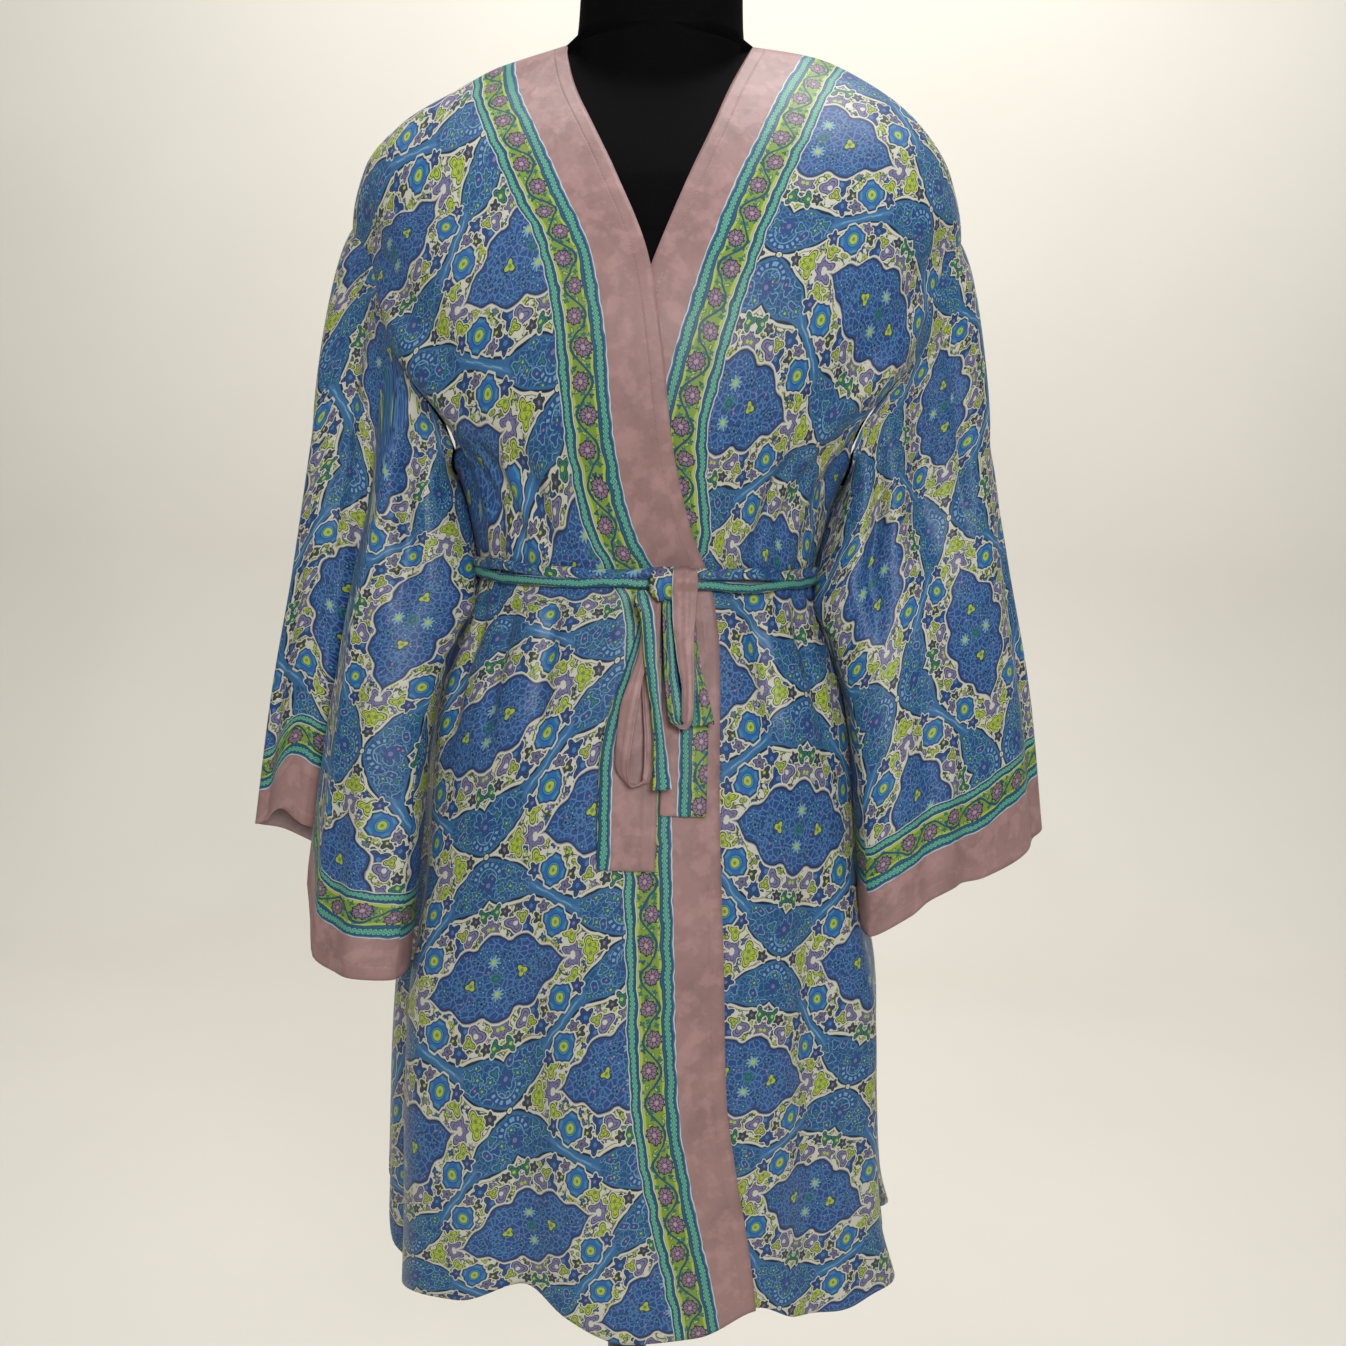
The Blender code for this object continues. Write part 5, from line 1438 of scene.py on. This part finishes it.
def crepe_surface():
    """The node group for the cloth's relief: crepe grain, small wrinkles, and the hems' stitching."""
    if "Crepe surface" in bpy.data.node_groups:
        return bpy.data.node_groups["Crepe surface"]
    inputs = [(label, "NodeSocketVector", None) for label in ("Place", "Position")]
    inputs += [("Hem", "NodeSocketFloat", 0.1), ("Wrinkles", "NodeSocketFloat", 1.0)]
    outputs = [(label, "NodeSocketFloat") for label in ("Height", "Roughness")]
    tree, given, out_of = new_group("Crepe surface", inputs, outputs)
    stretched = add_node(tree, "Mapping")
    stretched.inputs["Scale"].default_value = (1.0, 1.0, 0.35)
    tree.links.new(given["Position"].socket, stretched.inputs["Vector"])
    soft = clouds(tree, Number(tree, stretched.outputs[0]), 42.0, detail=2.5, rough=0.55)
    ridges = 1.0 - abs(soft - 0.5) * 2.0
    small = clouds(tree, given["Position"], 160.0, detail=2.0)
    grain = clouds(tree, given["Place"], 2600.0, detail=1.0, dimensions="2D")
    hem_line = given["Hem"].near(HEM_FOLD, 0.0007, 0.0005)
    across, down, _ = parts_of(tree, given["Place"])
    stitches = sine(across + down, 2 * math.pi / STITCH).above(-0.3, 0.3)
    fold_step = given["Hem"].below(HEM_FOLD, 0.0006)
    height = ridges * given["Wrinkles"] * 0.0011 + small * given["Wrinkles"] * 0.00025 + grain * 0.00005
    height = height + fold_step * 0.00022 - hem_line * stitches * 0.00028
    tree.links.new(height.socket, out_of.inputs["Height"])
    rough = small * 0.12 + grain * 0.08 + 0.36
    tree.links.new(rough.socket, out_of.inputs["Roughness"])
    return tree


def new_finish(name):
    """A new material: itself, its tree, its shader and the place on the object."""
    made = bpy.data.materials.new(name)
    made.use_nodes = True
    tree = made.node_tree
    place = add_node(tree, "TexCoord").outputs["Object"]
    return made, tree, tree.nodes["Principled BSDF"], Number(tree, place)


def raise_surface(tree, shader, height, strength):
    """Bump a surface by a height in metres."""
    bump = add_node(tree, "Bump")
    bump.inputs["Strength"].default_value = strength
    bump.inputs["Distance"].default_value = 1.0
    tree.links.new(height.socket, bump.inputs["Height"])
    tree.links.new(bump.outputs["Normal"], shader.inputs["Normal"])


def printed_silk(name, paler):
    """Printed crepe. paler is how washed out the print is on this side of the cloth."""
    if name in bpy.data.materials:
        return bpy.data.materials[name]
    made, tree, shader, where = new_finish(name)
    place, repeat = (add_node(tree, "UVMap", uv_map=layer).outputs["UV"] for layer in ("print", "repeat"))
    hem = add_node(tree, "Attribute", attribute_name="hem")
    colours = bpy.context.scene.robe_colours
    pattern = add_node(tree, "Group", node_tree=robe_print())
    tree.links.new(place, pattern.inputs["Place"])
    tree.links.new(repeat, pattern.inputs["Repeat"])
    pattern.inputs["Paler"].default_value = paler
    for label in PRINT_COLOURS:
        pattern.inputs[label].default_value = (*getattr(colours, label.lower()), 1.0)
    tree.links.new(pattern.outputs["Color"], shader.inputs["Base Color"])
    surface = add_node(tree, "Group", node_tree=crepe_surface())
    tree.links.new(place, surface.inputs["Place"])
    tree.links.new(where.socket, surface.inputs["Position"])
    tree.links.new(hem.outputs["Fac"], surface.inputs["Hem"])
    tree.links.new(surface.outputs["Roughness"], shader.inputs["Roughness"])
    raise_surface(tree, shader, Number(tree, surface.outputs["Height"]), 0.6)
    shader.inputs["Sheen Weight"].default_value = 0.03
    shader.inputs["Sheen Roughness"].default_value = 0.4
    shader.inputs["Specular IOR Level"].default_value = 0.30
    return made


def form_jersey():
    """The dress form's tight black jersey: fine ribs, a little dust and a soft sheen."""
    made, tree, shader, where = new_finish("form_jersey")
    dust = clouds(tree, where, 38.0, detail=6.0, rough=0.65)
    fibre = clouds(tree, where, 700.0)
    black = (*bpy.context.scene.robe_colours.form, 1.0)
    dusty = dust.above(0.55, 0.16) * 0.16 + fibre.above(0.62, 0.1) * 0.12
    colour = mixed(tree, black, shade(22, 22, 23), dusty)
    tree.links.new(colour.socket, shader.inputs["Base Color"])
    rough = dust * 0.15 + 0.75
    tree.links.new(rough.socket, shader.inputs["Roughness"])
    x, y, z = parts_of(tree, where)
    ribs = sine(y.math("ARCTAN2", x), 420.0) * 0.5 + sine(z, 2 * math.pi / JERSEY_RIB) * 0.5
    raise_surface(tree, shader, ribs * 0.00004 + fibre * 0.00012, 0.5)
    shader.inputs["Specular IOR Level"].default_value = 0.04
    return made


def black_steel():
    """Powder-coated steel of the pole and the base, with a little dust."""
    made, tree, shader, where = new_finish("black_steel")
    dust = clouds(tree, where, 24.0, detail=6.0, rough=0.6)
    grain = clouds(tree, where, 1400.0)
    colour = mixed(tree, shade(20, 20, 22), shade(62, 61, 60), dust.above(0.58, 0.16) * 0.5)
    tree.links.new(colour.socket, shader.inputs["Base Color"])
    rough = dust * 0.25 + 0.34
    tree.links.new(rough.socket, shader.inputs["Roughness"])
    raise_surface(tree, shader, grain * 0.00006, 0.4)
    shader.inputs["Coat Weight"].default_value = 0.1
    return made


def studio_paper():
    """The pale matte paper of the floor and the wall behind."""
    made, tree, shader, where = new_finish("studio_paper")
    mottle = clouds(tree, where, 1.6, detail=3.0)
    colour = mixed(tree, shade(218, 214, 203), shade(208, 204, 193), mottle)
    tree.links.new(colour.socket, shader.inputs["Base Color"])
    shader.inputs["Roughness"].default_value = 0.9
    return made


# Studio: the floor's front edge, the wall's place and top, half its width, and the bend between them
FLOOR_FRONT, WALL_BACK, WALL_TOP, STUDIO_SIDE, STUDIO_BEND = -3.2, 3.0, 4.6, 4.5, 0.9
# Lights: name, place, what each points at, its size and its power
LIGHTS = (
    ("key_light", (0.5, -2.5, 1.9), (0, 0, 0.95), 0.8, 46),
    ("fill_light", (-1.8, -1.6, 2.4), (0, 0, 1.0), 1.6, 9),
    ("wall_light", (0.3, 0.6, 4.0), (0, WALL_BACK, 1.2), 2.4, 140),
)
AIR_COLOUR, AIR_LIGHT = (0.97, 0.97, 1.0, 1.0), 0.22
CAMERA_LENS, CAMERA_PLACE, CAMERA_PITCH, CAMERA_ROLL = 37.44, (0.021, -1.017, 1.133), 82, 1.65


def make_studio():
    """A pale floor that curves up into a wall."""
    maker = bmesh.new()
    outline = [(FLOOR_FRONT, 0.0)]
    for turn in np.linspace(0, math.pi / 2, 17):
        up = STUDIO_BEND - STUDIO_BEND * math.cos(turn)
        outline.append((WALL_BACK - STUDIO_BEND + STUDIO_BEND * math.sin(turn), up))
    outline.append((WALL_BACK, WALL_TOP))
    verts = [maker.verts.new((-STUDIO_SIDE, y, z)) for y, z in outline]
    edges = [maker.edges.new(pair) for pair in zip(verts, verts[1:])]
    grown = bmesh.ops.extrude_edge_only(maker, edges=edges)["geom"]
    moved = [item for item in grown if isinstance(item, bmesh.types.BMVert)]
    bmesh.ops.translate(maker, verts=moved, vec=(2 * STUDIO_SIDE, 0, 0))
    maker.normal_update()
    if maker.faces[:][0].normal.z < 0:
        bmesh.ops.reverse_faces(maker, faces=maker.faces)
    new_piece("studio_floor", maker, studio_paper())


def make_lights():
    """Three soft lights and the light of the air."""
    scene = bpy.context.scene
    for name, place, aim, size, power in LIGHTS:
        lamp = bpy.data.lights.new(name, "AREA")
        lamp.shape = "DISK"
        lamp.size = size
        lamp.energy = power
        holder = bpy.data.objects.new(name, lamp)
        holder.location = place
        holder.rotation_euler = (Vector(aim) - Vector(place)).to_track_quat("-Z", "Y").to_euler()
        scene.collection.objects.link(holder)
    world = bpy.data.worlds.new("studio_air")
    world.use_nodes = True
    world.node_tree.nodes["Background"].inputs["Color"].default_value = AIR_COLOUR
    world.node_tree.nodes["Background"].inputs["Strength"].default_value = AIR_LIGHT
    scene.world = world
    scene.view_settings.view_transform = "Standard"


def make_camera():
    """The camera at the photograph's angle."""
    camera = bpy.data.cameras.new("photo_camera")
    camera.lens = CAMERA_LENS
    camera.sensor_width = 36.0
    holder = bpy.data.objects.new("photo_camera", camera)
    roll = Matrix.Rotation(math.radians(CAMERA_ROLL), 3, "Z")
    holder.rotation_euler = (Euler((math.radians(CAMERA_PITCH), 0, 0)).to_matrix() @ roll).to_euler()
    holder.location = CAMERA_PLACE
    bpy.context.scene.collection.objects.link(holder)
    bpy.context.scene.camera = holder


class ROBE_OT_fronts(bpy.types.Operator):
    """Lay the two front panels over the dress form"""

    bl_idname = "robe.fronts"
    bl_label = "Front panels"

    def execute(self, context):
        centres = (OVER_CENTRES, OVER_CENTRES)
        over = make_front("robe_front_over", -1, True, OVER_EDGE, "over", centres, "front_over")
        centres = (UNDER_CENTRES_ABOVE, UNDER_CENTRES_BELOW)
        under = make_front("robe_front_under", 1, False, UNDER_EDGE, "under", centres, "front_under")
        return {"FINISHED"}


class ROBE_OT_back(bpy.types.Operator):
    """Lay the back panel over the dress form"""

    bl_idname = "robe.back"
    bl_label = "Back panel"

    def execute(self, context):
        make_back()
        return {"FINISHED"}


class ROBE_OT_sleeves(bpy.types.Operator):
    """Hang the two wide sleeves from the armholes"""

    bl_idname = "robe.sleeves"
    bl_label = "Sleeves"

    def execute(self, context):
        for label, side, run, loop, centres in (
            ("left", -1, LEFT_RUN, LEFT_LOOP, LEFT_SLEEVE_CENTRES),
            ("right", 1, RIGHT_RUN, RIGHT_LOOP, RIGHT_SLEEVE_CENTRES),
        ):
            piece = make_sleeve("robe_sleeve_" + label, side, run, loop, label, centres, "sleeve_" + label)
        return {"FINISHED"}


class ROBE_OT_sash(bpy.types.Operator):
    """Wind and tie the sash round the waist"""

    bl_idname = "robe.sash"
    bl_label = "Sash"

    def execute(self, context):
        upper = make_strand("sash_strand_upper", 0.0036, 0.0036, 0.0018, 0.050, 0.029, 0.0)
        lower = make_strand("sash_strand_lower", -0.0036, 0.0032, 0.0016, 0.0145, -0.0045, 1.7)
        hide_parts("sash_band")
        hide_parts("sash_band")
        knot = make_knot()
        left_end = make_tail("sash_end_left", 1, 0.0095, -0.0300, "sash_tail_left")
        right_end = make_tail("sash_end_right", 2, -0.0110, 0.0190, "sash_tail_right")
        bows = (
            ("loop_left", BOW_LEFT, (-0.022, -0.010, 0.001, -0.008), "bow_left", 0.52, (0.010, 0.260)),
            ("fold_left", FOLD_LEFT, (0.0108, -0.0008, 0.0108, -0.0008), "bow_left", 2.0, (0.010, 0.130)),
            ("loop_right", BOW_RIGHT, (0.001, -0.016, 0.001, 0.014), "bow_right", 0.74, (0.012, 0.190)),
            ("fold_right", FOLD_RIGHT, (0.003, 0.019, 0.003, 0.019), "bow_right", 2.0, (0.010, 0.070)),
        )
        for label, run, prints, node, turn_at, flat in bows:
            rows = BOW_ROWS // 2 if label == "fold_right" else BOW_ROWS
            piece = make_bow("sash_" + label, run, prints, "sash_" + node, turn_at, rows)
        return {"FINISHED"}


class ROBE_OT_form(bpy.types.Operator):
    """Make the dress form smooth, and finish its pole and base"""

    bl_idname = "robe.form"
    bl_label = "Dress form"

    def execute(self, context):
        make_form()
        steel = black_steel()
        for node in ("form_pole", "form_base"):
            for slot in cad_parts[node].material_slots:
                slot.material = steel
        return {"FINISHED"}


class ROBE_OT_stage(bpy.types.Operator):
    """Set the floor, the lights and the camera"""

    bl_idname = "robe.stage"
    bl_label = "Stage"

    def execute(self, context):
        make_studio()
        make_lights()
        make_camera()
        return {"FINISHED"}


class ROBE_PT_panel(bpy.types.Panel):
    """The robe's sizes, colours and pieces"""

    bl_idname = "ROBE_PT_panel"
    bl_label = "Kimono robe"
    bl_space_type = "VIEW_3D"
    bl_region_type = "UI"
    bl_category = "Robe"

    def draw(self, context):
        layout = self.layout
        for settings in (context.scene.robe_cloth, context.scene.robe_colours):
            for name in settings.__annotations__:
                layout.prop(settings, name)
        for operator in PIECES:
            layout.operator(operator.bl_idname)


PIECES = (ROBE_OT_form, ROBE_OT_back, ROBE_OT_fronts, ROBE_OT_sleeves, ROBE_OT_sash, ROBE_OT_stage)
CLASSES = (RobeCloth, RobeColours, *PIECES, ROBE_PT_panel)


def register():
    for item in CLASSES:
        bpy.utils.register_class(item)
    bpy.types.Scene.robe_cloth = bpy.props.PointerProperty(type=RobeCloth)
    bpy.types.Scene.robe_colours = bpy.props.PointerProperty(type=RobeColours)


def unregister():
    del bpy.types.Scene.robe_cloth
    del bpy.types.Scene.robe_colours
    for item in reversed(CLASSES):
        bpy.utils.unregister_class(item)


def main():
    register()
    for operator in PIECES:
        family, name = operator.bl_idname.split(".")
        getattr(getattr(bpy.ops, family), name)()


if __name__ == "__main__":
    main()
